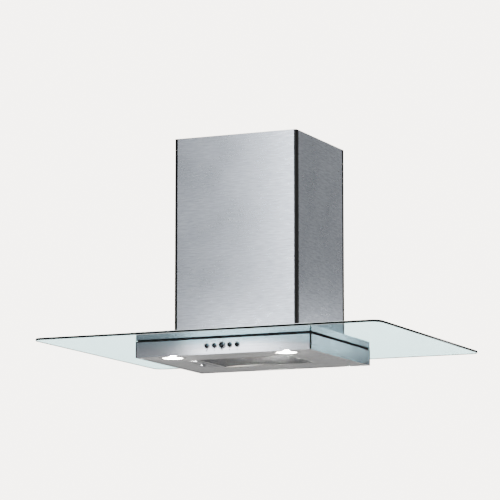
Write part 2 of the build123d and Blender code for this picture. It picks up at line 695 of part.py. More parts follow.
# ---------------------------------------------------------------- controls behind the fascia
with BuildPart() as button_carrier:
    carrier_y = body_front + SHEET
    carrier_z = body_bottom + CARRIER_RISE
    half = CARRIER_WIDTH / 2
    span_box(-half, half, carrier_y, carrier_y + CARRIER_DEPTH,
             carrier_z, carrier_z + carrier_height)
    for side in (-1, 1):
        span_box(side * half, side * (half - 4), carrier_y, body_front + BOARD_SET_BACK,
                 carrier_z, carrier_z + carrier_height)
    with BuildSketch(front_plane):
        for x, radius in zip(BUTTON_X, BUTTON_RADII):
            with Locations((x, button_z)):
                Circle(radius + RUNNING_GAP)
            with Locations((x, indicator_z)):
                Circle(INDICATOR_RADIUS + 0.1)
    extrude(amount=-CARRIER_DEPTH - 2 * SHEET, mode=Mode.SUBTRACT)
finish(button_carrier, "button_carrier")

with BuildPart() as button_bezels:
    for x, radius in zip(BUTTON_X, BUTTON_RADII):
        with BuildSketch(front_plane):
            with Locations((x, button_z)):
                Circle(radius + BEZEL_BAND + 1)
                Circle(radius + RUNNING_GAP, mode=Mode.SUBTRACT)
        extrude(amount=BEZEL_PROUD)
        with BuildSketch(front_plane):
            with Locations((x, button_z)):
                Circle(radius + BEZEL_BAND)
                Circle(radius + RUNNING_GAP, mode=Mode.SUBTRACT)
        extrude(amount=-SHEET)
finish(button_bezels, "button_bezels")

with BuildPart() as indicator_lenses:
    with BuildSketch(front_plane.offset(0.3)):
        for x in BUTTON_X:
            with Locations((x, indicator_z)):
                Circle(INDICATOR_RADIUS)
    extrude(amount=-BOARD_SET_BACK + SWITCH_DEPTH)
finish(indicator_lenses, "indicator_lenses")

stem_end = BOARD_SET_BACK - SWITCH_DEPTH + 2
with BuildPart() as control_board:
    board_plane = front_plane.offset(-BOARD_SET_BACK)
    with BuildSketch(board_plane):
        with Locations((0, carrier_z + carrier_height / 2)):
            Rectangle(CARRIER_WIDTH, carrier_height)
    extrude(amount=-BOARD_THICKNESS)
    with BuildSketch(board_plane):
        for x in BUTTON_X:
            with Locations((x, button_z)):
                Rectangle(SWITCH_SIZE, SWITCH_SIZE)
    extrude(amount=SWITCH_DEPTH)
    with BuildSketch(board_plane.offset(0.5)):
        for x in BUTTON_X:
            with Locations((x, button_z)):
                Circle(1.5 + RUNNING_GAP)
    extrude(amount=SWITCH_DEPTH, mode=Mode.SUBTRACT)
    with BuildSketch(board_plane):
        for x in BUTTON_X:
            with Locations((x, indicator_z)):
                Rectangle(3, 2)
    extrude(amount=SWITCH_DEPTH - 0.5)
finish(control_board, "control_board")

for index, (x, radius) in enumerate(zip(BUTTON_X, BUTTON_RADII), start=1):
    with BuildPart() as button:
        with BuildSketch(front_plane.offset(BUTTON_PROUD)):
            with Locations((x, button_z)):
                Circle(radius)
        extrude(amount=-BUTTON_PROUD - SHEET - CARRIER_DEPTH - 1.5)
        fillet(button.edges().filter_by(GeomType.CIRCLE).sort_by(Axis.Y)[0], 0.8)
        with BuildSketch(front_plane.offset(-SHEET - CARRIER_DEPTH - RUNNING_GAP)):
            with Locations((x, button_z)):
                Circle(radius + 1.2)
        extrude(amount=-1.2)
        with BuildSketch(front_plane.offset(-SHEET - CARRIER_DEPTH)):
            with Locations((x, button_z)):
                Circle(1.5)
        extrude(amount=-stem_end + SHEET + CARRIER_DEPTH)
    finish(button, f"button_{index}")

# ---------------------------------------------------------------- electrical boxes
with BuildPart() as power_box:
    span_box(POWER_BOX_X - POWER_BOX_LENGTH / 2, POWER_BOX_X + POWER_BOX_LENGTH / 2,
             electric_y - POWER_BOX_DEPTH / 2, electric_y + POWER_BOX_DEPTH / 2,
             pan_top, pan_top + power_box_height)
    fillet(power_box.edges().filter_by(Axis.Z), 4)
    offset(amount=-2, openings=power_box.faces().sort_by(Axis.Z)[-1])
finish(power_box, "power_box")

with BuildPart() as power_box_lid:
    with BuildSketch(Plane.XY.offset(pan_top + power_box_height)):
        with Locations((POWER_BOX_X, electric_y)):
            RectangleRounded(POWER_BOX_LENGTH, POWER_BOX_DEPTH, 4)
    extrude(amount=POWER_LID)
finish(power_box_lid, "power_box_lid")

with BuildPart() as lamp_driver:
    span_box(DRIVER_X - DRIVER_LENGTH / 2, DRIVER_X + DRIVER_LENGTH / 2,
             electric_y - DRIVER_DEPTH / 2, electric_y + DRIVER_DEPTH / 2,
             pan_top, pan_top + driver_height)
    fillet(lamp_driver.edges().filter_by(Axis.Z), 3)
    chamfer(lamp_driver.faces().sort_by(Axis.Z)[-1].edges(), 1)
finish(lamp_driver, "lamp_driver")

# ---------------------------------------------------------------- plenum box
with BuildPart() as plenum_wrapper:
    span_box(-plenum_half_x, plenum_half_x, -plenum_half_y, plenum_half_y,
             tray_top, plenum_top)
    span_box(-plenum_half_x + SHEET, plenum_half_x - SHEET,
             -plenum_half_y - 1, plenum_half_y + 1,
             tray_top - 1, plenum_top - SHEET, mode=Mode.SUBTRACT)
    for side in (-1, 1):
        span_box(side * plenum_half_x, side * (plenum_half_x + PLENUM_FLANGE),
                 -PLENUM_FLANGE_SPAN / 2, PLENUM_FLANGE_SPAN / 2, tray_top, tray_top + SHEET)
    span_box(-SCROLL_WIDTH / 2, SCROLL_WIDTH / 2, outlet_front_y, outlet_back_y,
             plenum_top - 2 * SHEET, plenum_top + 1, mode=Mode.SUBTRACT)
finish(plenum_wrapper, "plenum_wrapper")

with BuildPart() as plenum_end_plates:
    for side in (-1, 1):
        edge_x = plenum_half_x - SHEET
        outer = side * plenum_half_y
        span_box(-edge_x, edge_x, outer, outer - side * SHEET, tray_top, plenum_top - SHEET)
finish(plenum_end_plates, "plenum_end_plates")

# ---------------------------------------------------------------- blower scroll
# The scroll grows in three quarter circles from the cut-off round to the outlet wall.
first_centre = (SCROLL_AXIS_Y, scroll_z)
second_centre = (SCROLL_AXIS_Y + SCROLL_STEP, scroll_z)
third_centre = (SCROLL_AXIS_Y + SCROLL_STEP, scroll_z + SCROLL_STEP)
scroll_roof = plenum_top - SHEET


def scroll_outline(grow, x, inlet=False):
    """Make the scroll's outline, moved outwards by grow, as a sketch at x across the axis."""
    radii = [scroll_radius + index * SCROLL_STEP + grow for index in range(3)]
    cut_off = (SCROLL_AXIS_Y, scroll_z + radii[0])
    tongue = (outlet_front_y - grow, scroll_z + radii[0] + 14)
    with BuildSketch(Plane.YZ.offset(x)) as outline:
        with BuildLine():
            CenterArc(first_centre, radii[0], 90, 90)
            CenterArc(second_centre, radii[1], 180, 90)
            CenterArc(third_centre, radii[2], 270, 90)
            Polyline(
                (third_centre[0] + radii[2], third_centre[1]),
                (third_centre[0] + radii[2], scroll_roof),
                (outlet_front_y - grow, scroll_roof),
                tongue,
                cut_off,
            )
        make_face()
        if inlet:
            with Locations(first_centre):
                Circle(inlet_radius, mode=Mode.SUBTRACT)
    return outline.sketch


scroll_left = -SCROLL_WIDTH / 2
wrap_outer = scroll_outline(SHEET, scroll_left)
wrap_inner = scroll_outline(0, scroll_left)
with BuildPart() as scroll_wrap:
    extrude(wrap_outer, amount=SCROLL_WIDTH)
    extrude(wrap_inner, amount=SCROLL_WIDTH, mode=Mode.SUBTRACT)
finish(scroll_wrap, "scroll_wrap")

for side_name, side in (("scroll_left_side", -1), ("scroll_right_side", 1)):
    side_outline = scroll_outline(SHEET, side * SCROLL_WIDTH / 2, inlet=True)
    with BuildPart() as scroll_side:
        extrude(side_outline, amount=side * SHEET)
        with BuildSketch(Plane.YZ.offset(side * SCROLL_WIDTH / 2)):
            with Locations(first_centre):
                Circle(inlet_radius + SHEET)
                Circle(inlet_radius, mode=Mode.SUBTRACT)
        extrude(amount=side * (SHEET + INLET_LIP))
    finish(scroll_side, side_name)

# ---------------------------------------------------------------- motor and impeller
with BuildPart() as motor:
    with BuildSketch(Plane.YZ.offset(MOTOR_START)):
        with Locations(first_centre):
            Circle(motor_radius)
    extrude(amount=MOTOR_END - MOTOR_START)
    fillet(motor.edges().filter_by(GeomType.CIRCLE), 5)
    with BuildSketch(Plane.YZ.offset(MOTOR_END)):
        with Locations(first_centre):
            Circle(SHAFT_RADIUS + SHAFT_GAP)
    extrude(amount=-42, mode=Mode.SUBTRACT)
finish(motor, "motor")

bracket_x = -SCROLL_WIDTH / 2 - SHEET - INLET_LIP - RUNNING_GAP
with BuildPart() as motor_bracket:
    with BuildSketch(Plane.YZ.offset(bracket_x)):
        with Locations(first_centre):
            Circle(motor_radius + 4)
            with PolarLocations((bracket_radius + motor_radius) / 2, 3, start_angle=90):
                Rectangle(bracket_radius - motor_radius, 12)
            with PolarLocations(bracket_radius, 3, start_angle=90):
                Circle(8)
        with Locations(first_centre):
            Circle(motor_radius, mode=Mode.SUBTRACT)
    extrude(amount=-BRACKET_WALL)
finish(motor_bracket, "motor_bracket")

with BuildPart() as motor_bushes:
    with BuildSketch(Plane.YZ.offset(bracket_x)):
        with Locations(first_centre):
            with PolarLocations(bracket_radius, 3, start_angle=90):
                Circle(6)
    extrude(amount=INLET_LIP + RUNNING_GAP)
finish(motor_bushes, "motor_bushes")

with BuildPart() as impeller:
    for ring_x0 in (-impeller_width / 2, impeller_width / 2 - 2):
        with BuildSketch(Plane.YZ.offset(ring_x0)):
            with Locations(first_centre):
                Circle(impeller_radius)
                Circle(impeller_radius - BLADE_DEPTH - 1, mode=Mode.SUBTRACT)
        extrude(amount=2)
    with BuildSketch(Plane.YZ.offset(DISC_START)):
        with Locations(first_centre):
            Circle(impeller_radius)
    extrude(amount=DISC_END - DISC_START)
    with BuildSketch(Plane.YZ.offset(DISC_END)):
        with Locations(first_centre):
            Circle(12)
    extrude(amount=HUB_END - DISC_END)
    with BuildSketch(Plane.YZ.offset(-impeller_width / 2)):
        with Locations(first_centre):
            with PolarLocations(impeller_radius - BLADE_DEPTH / 2, BLADE_COUNT):
                Rectangle(BLADE_DEPTH, BLADE_THICKNESS, rotation=BLADE_ANGLE)
    extrude(amount=impeller_width)
    with BuildSketch(Plane.YZ.offset(DISC_START)):
        with Locations(first_centre):
            Circle(SHAFT_RADIUS)
    extrude(amount=HUB_END - DISC_START, mode=Mode.SUBTRACT)
finish(impeller, "impeller")

with BuildPart() as motor_shaft:
    with BuildSketch(Plane.YZ.offset(MOTOR_END - 40)):
        with Locations(first_centre):
            Circle(SHAFT_RADIUS)
    extrude(amount=HUB_END + 3 - MOTOR_END + 40)
    chamfer(motor_shaft.edges().sort_by(Axis.X)[-1], 0.6)
finish(motor_shaft, "motor_shaft")

# ---------------------------------------------------------------- outlet with non-return flaps
with BuildPart() as outlet_collar:
    with BuildSketch(Plane.XY.offset(plenum_top)):
        with Locations((0, outlet_y)):
            Circle(OUTLET_RADIUS + OUTLET_FLANGE_BAND)
            Circle(OUTLET_RADIUS - OUTLET_WALL, mode=Mode.SUBTRACT)
    extrude(amount=OUTLET_BASE)
    with BuildSketch(Plane.XY.offset(spigot_bottom)):
        with Locations((0, outlet_y)):
            Circle(OUTLET_RADIUS)
            Circle(OUTLET_RADIUS - OUTLET_WALL, mode=Mode.SUBTRACT)
    extrude(amount=OUTLET_HEIGHT)
    with BuildSketch(Plane.YZ):
        with Locations((outlet_y, flap_z)):
            Circle(FLAP_PIN_RADIUS)
    extrude(amount=OUTLET_RADIUS + 2, both=True, mode=Mode.SUBTRACT)
finish(outlet_collar, "outlet_collar")

with BuildPart() as flap_pin:
    with BuildSketch(Plane.YZ):
        with Locations((outlet_y, flap_z)):
            Circle(FLAP_PIN_RADIUS)
    extrude(amount=OUTLET_RADIUS - RUNNING_GAP, both=True)
finish(flap_pin, "flap_pin")

# Each flap hangs on the pin by two knuckles; the two sets of knuckles sit side by side.
knuckle_radius = FLAP_PIN_RADIUS + RUNNING_GAP + KNUCKLE_WALL
KNUCKLE_X = {"front": (-40.0, 26.0), "rear": (-26.0, 40.0)}
for flap_name, side in (("front", -1), ("rear", 1)):
    with BuildPart() as flap:
        with BuildSketch(Plane.XY.offset(flap_z - knuckle_radius)):
            with Locations((0, outlet_y)):
                Circle(OUTLET_RADIUS - OUTLET_WALL - FLAP_EDGE_GAP)
                with Locations((0, -side * (OUTLET_RADIUS - FLAP_SET_BACK))):
                    Rectangle(3 * OUTLET_RADIUS, 2 * OUTLET_RADIUS, mode=Mode.SUBTRACT)
        extrude(amount=FLAP_THICKNESS)
        for knuckle_x in KNUCKLE_X[flap_name]:
            with BuildSketch(Plane.YZ.offset(knuckle_x - KNUCKLE_LENGTH / 2)):
                with Locations((outlet_y, flap_z)):
                    Circle(knuckle_radius)
                with Locations((outlet_y + side * 3.0, flap_z - knuckle_radius + FLAP_THICKNESS / 2)):
                    Rectangle(6.0, FLAP_THICKNESS)
                with Locations((outlet_y, flap_z)):
                    Circle(FLAP_PIN_RADIUS + RUNNING_GAP, mode=Mode.SUBTRACT)
            extrude(amount=KNUCKLE_LENGTH)
    finish(flap, f"flap_{flap_name}")

# ---------------------------------------------------------------- supply parts on the plenum
with BuildPart() as terminal_box:
    span_box(terminal_x - TERMINAL_LENGTH / 2, terminal_x + TERMINAL_LENGTH / 2,
             supply_y - TERMINAL_DEPTH / 2, supply_y + TERMINAL_DEPTH / 2,
             plenum_top, plenum_top + TERMINAL_HEIGHT)
    fillet(terminal_box.edges().filter_by(Axis.Z), 4)
    chamfer(terminal_box.faces().sort_by(Axis.Z)[-1].edges(), 1)
finish(terminal_box, "terminal_box")

with BuildPart() as cable_gland:
    gland_z = plenum_top + TERMINAL_HEIGHT
    with BuildSketch(Plane.XY.offset(gland_z)):
        with Locations((terminal_x, supply_y)):
            RegularPolygon(GLAND_RADIUS + 2, 6)
    extrude(amount=GLAND_NUT_HEIGHT)
    with BuildSketch(Plane.XY.offset(gland_z + GLAND_NUT_HEIGHT)):
        with Locations((terminal_x, supply_y)):
            Circle(GLAND_RADIUS)
    extrude(amount=GLAND_CAP_HEIGHT, taper=12)
    with BuildSketch(Plane.XY.offset(gland_z)):
        with Locations((terminal_x, supply_y)):
            Circle(GLAND_BORE_RADIUS)
    extrude(amount=GLAND_NUT_HEIGHT + GLAND_CAP_HEIGHT, mode=Mode.SUBTRACT)
finish(cable_gland, "cable_gland")

with BuildPart() as capacitor:
    capacitor_z = plenum_top + 2 + CAPACITOR_RADIUS
    capacitor_left = capacitor_x - CAPACITOR_LENGTH / 2
    with BuildSketch(Plane.YZ.offset(capacitor_left)):
        with Locations((supply_y, capacitor_z)):
            Circle(CAPACITOR_RADIUS)
    extrude(amount=CAPACITOR_LENGTH)
    fillet(capacitor.edges().filter_by(GeomType.CIRCLE), 2)
    with BuildSketch(Plane.YZ.offset(capacitor_x - 8)):
        with Locations((supply_y, capacitor_z)):
            Circle(CAPACITOR_RADIUS + 1.2)
            Circle(CAPACITOR_RADIUS, mode=Mode.SUBTRACT)
        span_rectangle(supply_y - CAPACITOR_CLIP_REACH, supply_y + CAPACITOR_CLIP_REACH,
                       plenum_top, plenum_top + 1.2)
    extrude(amount=16)
finish(capacitor, "capacitor")

# ---------------------------------------------------------------- grease filter and latch
window_x0 = -filter_x + FILTER_LATCH_RAIL
window_x1 = filter_x - FILTER_HINGE_RAIL
window_y = filter_y - FILTER_RAIL
latch_x = -filter_x + LATCH_INSET + LATCH_PLATE_X / 2
slider_x0 = -filter_x + LATCH_INSET + 1
slider_x1 = slider_x0 + SLIDER_X
pocket_x1 = slider_x1 + LATCH_TRAVEL + 1
pocket_half_y = SLIDER_Y / 2 + 1
filter_plane = Plane.XZ.offset(-body_y - filter_y)
with BuildPart() as filter_frame:
    with BuildSketch(filter_plane):
        span_rectangle(-filter_x, hinge_x, pan_bottom, pan_bottom + FILTER_THICKNESS)
        with Locations((hinge_x, hinge_z)):
            Circle(FILTER_THICKNESS / 2)
    extrude(amount=2 * filter_y)
    span_box(window_x0, window_x1, body_y - window_y, body_y + window_y,
             pan_bottom - 1, pan_bottom + FILTER_THICKNESS + 1, mode=Mode.SUBTRACT)
    span_box(slider_x0 - 1, pocket_x1, body_y - pocket_half_y, body_y + pocket_half_y,
             pan_bottom - 1, pan_bottom + POCKET_DEPTH, mode=Mode.SUBTRACT)
    span_box(-filter_x - 1, slider_x0, body_y - NOSE_Y / 2 - RUNNING_GAP,
             body_y + NOSE_Y / 2 + RUNNING_GAP, nose_bottom - RUNNING_GAP,
             nose_bottom + NOSE_Z + RUNNING_GAP, mode=Mode.SUBTRACT)
    span_box(-filter_x - 1, ledge_in + RUNNING_GAP, body_y - NOSE_Y / 2 - RUNNING_GAP,
             body_y + NOSE_Y / 2 + RUNNING_GAP, pan_bottom - 1, nose_bottom,
             mode=Mode.SUBTRACT)
    with BuildSketch(Plane.XZ.offset(-body_y)):
        with Locations((hinge_x, hinge_z)):
            Circle(HINGE_PIN_RADIUS)
    extrude(amount=filter_y + HINGE_PIN_REACH, both=True)
finish(filter_frame, "filter_frame")

with BuildPart() as filter_mesh:
    mesh_bottom = hinge_z - MESH_THICKNESS / 2
    span_box(window_x0, window_x1, body_y - window_y, body_y + window_y,
             mesh_bottom, mesh_bottom + MESH_THICKNESS)
finish(filter_mesh, "filter_mesh")

grip_x0 = slider_x0 + 3
with BuildPart() as latch_plate:
    with BuildSketch(Plane.XY.offset(pan_bottom)):
        with Locations((latch_x, body_y)):
            RectangleRounded(LATCH_PLATE_X, LATCH_PLATE_Y, 3)
        span_rectangle(grip_x0 - 1, grip_x0 + GRIP_X + LATCH_TRAVEL + 1,
                       body_y - GRIP_Y / 2 - 1, body_y + GRIP_Y / 2 + 1, mode=Mode.SUBTRACT)
    extrude(amount=-LATCH_PLATE_THICKNESS)
finish(latch_plate, "latch_plate")

with BuildPart() as filter_latch:
    slider_bottom = pan_bottom + RUNNING_GAP
    span_box(slider_x0, slider_x1, body_y - SLIDER_Y / 2, body_y + SLIDER_Y / 2,
             slider_bottom, slider_bottom + SLIDER_Z)
    span_box(nose_tip, slider_x0 + 1, body_y - NOSE_Y / 2, body_y + NOSE_Y / 2,
             nose_bottom, nose_bottom + NOSE_Z)
    span_box(grip_x0, grip_x0 + GRIP_X, body_y - GRIP_Y / 2, body_y + GRIP_Y / 2,
             pan_bottom - GRIP_DROP, slider_bottom + 1)
    grip_edges = filter_latch.edges().filter_by(Axis.Y).group_by(Axis.Z)[0]
    fillet(grip_edges, 1.5)
finish(filter_latch, "filter_latch")
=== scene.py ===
"""Island range hood: a clear glass canopy on a slim stainless body under a square ceiling cover.

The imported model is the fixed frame. The classes below dress its nodes, and make again the pieces
whose finest shape it only outlines: the eased sheet edges, the glass with its polished rim, the
expanded filter layers, the lamp lenses, the bezels and the indicators. Button caps are added to
their CAD barrels. Lengths are in metres unless a name or comment says millimetres, up is +Z, the
ceiling is at zero and the controls face -Y.
"""

import logging
import math
from dataclasses import dataclass
from enum import Enum

import bmesh
import bpy
from mathutils import Matrix, Vector


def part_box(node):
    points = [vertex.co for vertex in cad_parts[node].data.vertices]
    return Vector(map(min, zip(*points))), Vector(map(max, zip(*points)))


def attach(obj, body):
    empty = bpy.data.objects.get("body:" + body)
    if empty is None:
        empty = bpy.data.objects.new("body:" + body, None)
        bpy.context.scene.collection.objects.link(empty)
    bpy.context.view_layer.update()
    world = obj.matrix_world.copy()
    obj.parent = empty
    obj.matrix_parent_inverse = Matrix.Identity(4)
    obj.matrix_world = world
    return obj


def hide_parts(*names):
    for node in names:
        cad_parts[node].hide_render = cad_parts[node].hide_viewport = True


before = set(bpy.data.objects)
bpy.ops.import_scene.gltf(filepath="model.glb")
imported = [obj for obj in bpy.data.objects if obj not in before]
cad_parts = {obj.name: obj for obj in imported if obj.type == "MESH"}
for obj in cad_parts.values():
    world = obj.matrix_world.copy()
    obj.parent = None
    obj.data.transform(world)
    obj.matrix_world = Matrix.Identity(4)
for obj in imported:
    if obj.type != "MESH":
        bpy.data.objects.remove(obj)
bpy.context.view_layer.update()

LOG = logging.getLogger("range_hood")
MM = 0.001
# Faces larger than this, in square metres, are the flat of a sheet and are shaded flat.
FLAT_AREA = 4e-4
# Points nearer than this are one point of a CAD mesh.
MERGE_DISTANCE = 1e-6
# Neighbouring CAD triangles within this angle, in degrees, are parts of one flat face.
SAME_PLANE = 0.6
# Edges sharper than this, in degrees, are eased.
SHARP_EDGE = 40
# Noise runs from about a third to two thirds; these ends spread it over the whole range.
NOISE_LOW, NOISE_HIGH = 0.3, 0.7


# ------------------------------------------------------------------ nodes and colours
def linear(code: str, alpha: float = 1.0) -> tuple[float, float, float, float]:
    """Turns an sRGB colour into the linear values that a shader takes.

    Args:
        code: Six hex digits, two each for red, green and blue.
        alpha: The fourth value.

    Returns:
        Red, green, blue and alpha, from 0 to 1.
    """
    channels = [int(code[at:at + 2], 16) / 255 for at in (0, 2, 4)]
    curved = [c / 12.92 if c <= 0.04045 else ((c + 0.055) / 1.055) ** 2.4 for c in channels]
    return (*curved, alpha)


def add_node(tree: bpy.types.NodeTree, kind: str, inputs: dict | None = None,
             **settings: object) -> bpy.types.Node:
    """Adds one node with its settings, values and links.

    Args:
        tree: The node tree that takes the node.
        kind: Blender's name for the kind of node.
        inputs: A value, or another node's output, for each input by name or number.
        **settings: Attributes of the node, set before its inputs.

    Returns:
        The new node.
    """
    node = tree.nodes.new(kind)
    for name, value in settings.items():
        setattr(node, name, value)
    for key, value in (inputs or {}).items():
        if isinstance(value, bpy.types.NodeSocket):
            tree.links.new(value, node.inputs[key])
        else:
            node.inputs[key].default_value = value
    return node


class Pattern(Enum):
    """What the making of a surface leaves on it."""

    BRUSHED_ROUND = "brushed level lines round an upright panel"
    BRUSHED_ALONG = "brushed lines along a flat sheet, left to right"
    DRAWN = "faint upright lines of a drawn profile"
    ROLLED = "the even tooth of cold-rolled sheet"
    SPANGLED = "zinc crystals of hot-dip galvanising"
    MOULDED = "the fine grain of a moulding tool"
    POLISHED = "nothing but soft wiping marks"


def stretch_of(pattern: Pattern, spacing: float, length: float) -> Vector:
    """Gives the pattern's repeats per metre along X, Y and Z.

    Args:
        pattern: The kind of surface.
        spacing: Distance between lines, crystals or grains, in millimetres.
        length: Length of one brushed line, in millimetres.

    Returns:
        The scale for a Mapping node that reads Object coordinates in metres.
    """
    across, along = 1000 / spacing, 1000 / length
    scales = {
        Pattern.BRUSHED_ROUND: (along, along, across),
        Pattern.BRUSHED_ALONG: (along, across, across),
        Pattern.DRAWN: (across, across, along),
    }
    return Vector(scales.get(pattern, (across, across, across)))


def pattern_mask(tree: bpy.types.NodeTree, pattern: Pattern, spacing: float,
                 length: float) -> bpy.types.NodeSocket:
    """Builds the nodes of one surface pattern.

    Args:
        tree: The material's node tree.
        pattern: The kind of surface.
        spacing: Distance between lines, crystals or grains, in millimetres.
        length: Length of one brushed line, in millimetres.

    Returns:
        A value from 0, the darkest line, to 1, the brightest.
    """
    place = add_node(tree, "ShaderNodeTexCoord").outputs["Object"]
    scale = stretch_of(pattern, spacing, length)
    mapped = add_node(tree, "ShaderNodeMapping", {"Vector": place, "Scale": scale})
    if pattern is Pattern.SPANGLED:
        cells = add_node(tree, "ShaderNodeTexVoronoi",
                         {"Vector": mapped.outputs["Vector"], "Scale": 1.0, "Randomness": 1.0})
        return add_node(tree, "ShaderNodeSeparateColor",
                        {"Color": cells.outputs["Color"]}).outputs["Red"]
    lines = add_node(tree, "ShaderNodeTexNoise",
                     {"Vector": mapped.outputs["Vector"], "Scale": 1.0, "Detail": 3.0,
                      "Roughness": 0.62})
    return add_node(tree, "ShaderNodeMapRange",
                    {"Value": lines.outputs["Fac"], "From Min": NOISE_LOW,
                     "From Max": NOISE_HIGH}, clamp=True).outputs["Result"]


def soft_marks(tree: bpy.types.NodeTree, size: float) -> bpy.types.NodeSocket:
    """Builds broad soft marks, as a wiping cloth leaves them.

    Args:
        tree: The material's node tree.
        size: Width of one mark, in millimetres.

    Returns:
        A value round 0.5 that changes slowly over the surface.
    """
    place = add_node(tree, "ShaderNodeTexCoord").outputs["Object"]
    return add_node(tree, "ShaderNodeTexNoise",
                    {"Vector": place, "Scale": 1000 / size, "Detail": 1.5}).outputs["Fac"]


# ------------------------------------------------------------------ finishes
@dataclass(frozen=True)
class Finish:
    """An opaque finish: a metal, plastic, rubber or paint with the pattern of its making.

    Args:
        name: The material's name.
        slot: The record's material slot.
        light: sRGB hex of the pattern's bright lines.
        dark: sRGB hex of the pattern's dark lines.
        metallic: 1 for bare metal, 0 for anything else.
        roughness: Middle roughness.
        pattern: What the making leaves on the surface.
        spacing: Distance between lines, crystals or grains, in millimetres.
        length: Length of one brushed line, in millimetres.
        spread: How far the pattern moves the roughness either way.
        relief: Height of the pattern, in millimetres.
        ior: Index of refraction, which a metal keeps at the usual 1.5.
        coat: Weight of a clear lacquer over the finish.
    """

    name: str
    slot: str
    light: str
    dark: str
    metallic: float = 1.0
    roughness: float = 0.3
    pattern: Pattern = Pattern.POLISHED
    spacing: float = 40.0
    length: float = 60.0
    spread: float = 0.05
    relief: float = 0.0
    ior: float = 1.5
    coat: float = 0.0

    def material(self) -> bpy.types.Material:
        """Returns the finish's material, made the first time that it is asked for."""
        made = bpy.data.materials.get(self.name)
        if made is not None:
            return made
        made = bpy.data.materials.new(self.name)
        made.use_nodes = True
        tree = made.node_tree
        shader = tree.nodes["Principled BSDF"]
        mask = pattern_mask(tree, self.pattern, self.spacing, self.length)
        tint = add_node(tree, "ShaderNodeMix",
                        {"Factor": mask, 6: linear(self.dark), 7: linear(self.light)},
                        data_type="RGBA")
        tree.links.new(tint.outputs[2], shader.inputs["Base Color"])
        tree.links.new(self.roughness_of(tree, mask), shader.inputs["Roughness"])
        shader.inputs["Metallic"].default_value = self.metallic
        shader.inputs["IOR"].default_value = self.ior
        shader.inputs["Coat Weight"].default_value = self.coat
        shader.inputs["Coat Roughness"].default_value = 0.15
        if self.relief:
            bump = add_node(tree, "ShaderNodeBump",
                            {"Strength": 0.6, "Distance": self.relief * MM, "Height": mask})
            tree.links.new(bump.outputs["Normal"], shader.inputs["Normal"])
        return made

    def roughness_of(self, tree: bpy.types.NodeTree,
                     mask: bpy.types.NodeSocket) -> bpy.types.NodeSocket:
        """Adds the pattern and the wiping marks to the roughness.

        Args:
            tree: The material's node tree.
            mask: The pattern, from 0 to 1.

        Returns:
            The roughness at each point.
        """
        grain = add_node(tree, "ShaderNodeMapRange",
                         {"Value": mask, "To Min": self.roughness + self.spread,
                          "To Max": self.roughness - self.spread})
        marks = add_node(tree, "ShaderNodeMapRange",
                         {"Value": soft_marks(tree, 90.0), "From Min": NOISE_LOW,
                          "From Max": NOISE_HIGH, "To Min": -0.5 * self.spread,
                          "To Max": 0.5 * self.spread})
        return add_node(tree, "ShaderNodeMath",
                        {0: grain.outputs["Result"], 1: marks.outputs["Result"]},
                        operation="ADD", use_clamp=True).outputs["Value"]


@dataclass(frozen=True)
class ClearGlass:
    """Float glass, toughened: clear faces and a polished rim that looks nearly black edge-on.

    Args:
        name: The first part of its materials' names.
        slot: The record's material slot.
        tint: sRGB hex of light that has passed through the sheet.
        clear_tint: The same where the rolling marks leave the sheet clearest.
        rim: sRGB hex of the rim, where light crosses the whole width of the sheet.
        arris: sRGB hex of the ground chamfers along the rim.
        ior: Index of refraction.
    """

    name: str = "toughened_float_glass"
    slot: str = "canopy_glass"
    tint: str = "BFE9F2"
    clear_tint: str = "C9F0F7"
    rim: str = "050A0B"
    arris: str = "EEF6F6"
    ior: float = 1.06

    def face(self) -> bpy.types.Material:
        """Returns the clear material of the two large faces, with faint rolling marks."""
        made = bpy.data.materials.new(self.name)
        made.use_nodes = True
        tree = made.node_tree
        shader = tree.nodes["Principled BSDF"]
        marks = soft_marks(tree, 160.0)
        tint = add_node(tree, "ShaderNodeMix",
                        {"Factor": marks, 6: linear(self.tint), 7: linear(self.clear_tint)},
                        data_type="RGBA")
        gloss = add_node(tree, "ShaderNodeMapRange",
                         {"Value": marks, "To Min": 0.0, "To Max": 0.03})
        tree.links.new(tint.outputs[2], shader.inputs["Base Color"])
        tree.links.new(gloss.outputs["Result"], shader.inputs["Roughness"])
        shader.inputs["IOR"].default_value = self.ior
        shader.inputs["Transmission Weight"].default_value = 1.0
        return made

    def edge(self) -> bpy.types.Material:
        """Returns the polished rim, deep green-black like any thick glass seen edge-on."""
        return Finish(self.name + "_rim", self.slot, self.rim, "020405", metallic=0.0,
                      roughness=0.12, spacing=25.0, spread=0.04, ior=self.ior).material()

    def chamfer(self) -> bpy.types.Material:
        """Returns the ground chamfers, which scatter light and look white."""
        return Finish(self.name + "_ground_chamfer", self.slot, self.arris, "C9DBDC",
                      metallic=0.0, roughness=0.35, pattern=Pattern.MOULDED,
                      spacing=0.8).material()


@dataclass(frozen=True)
class LitLens:
    """A pressed lens with its lamp alight behind it.

    Args:
        name: The material's name.
        slot: The record's material slot.
        glow: sRGB hex of the light that it gives.
        strength: How bright it is, where 1 is a white sheet of paper in the studio.
    """

    name: str
    slot: str
    glow: str
    strength: float

    def material(self) -> bpy.types.Material:
        """Returns the lens's material, brighter where the pressed pattern is thin."""
        made = bpy.data.materials.new(self.name)
        made.use_nodes = True
        tree = made.node_tree
        shader = tree.nodes["Principled BSDF"]
        mask = pattern_mask(tree, Pattern.MOULDED, 1.6, 1.6)
        glow = add_node(tree, "ShaderNodeMix",
                        {"Factor": mask, 6: linear(self.glow), 7: linear("FFFFFF")},
                        data_type="RGBA")
        tree.links.new(glow.outputs[2], shader.inputs["Base Color"])
        tree.links.new(glow.outputs[2], shader.inputs["Emission Color"])
        shader.inputs["Emission Strength"].default_value = self.strength
        shader.inputs["Roughness"].default_value = 0.2
        return made


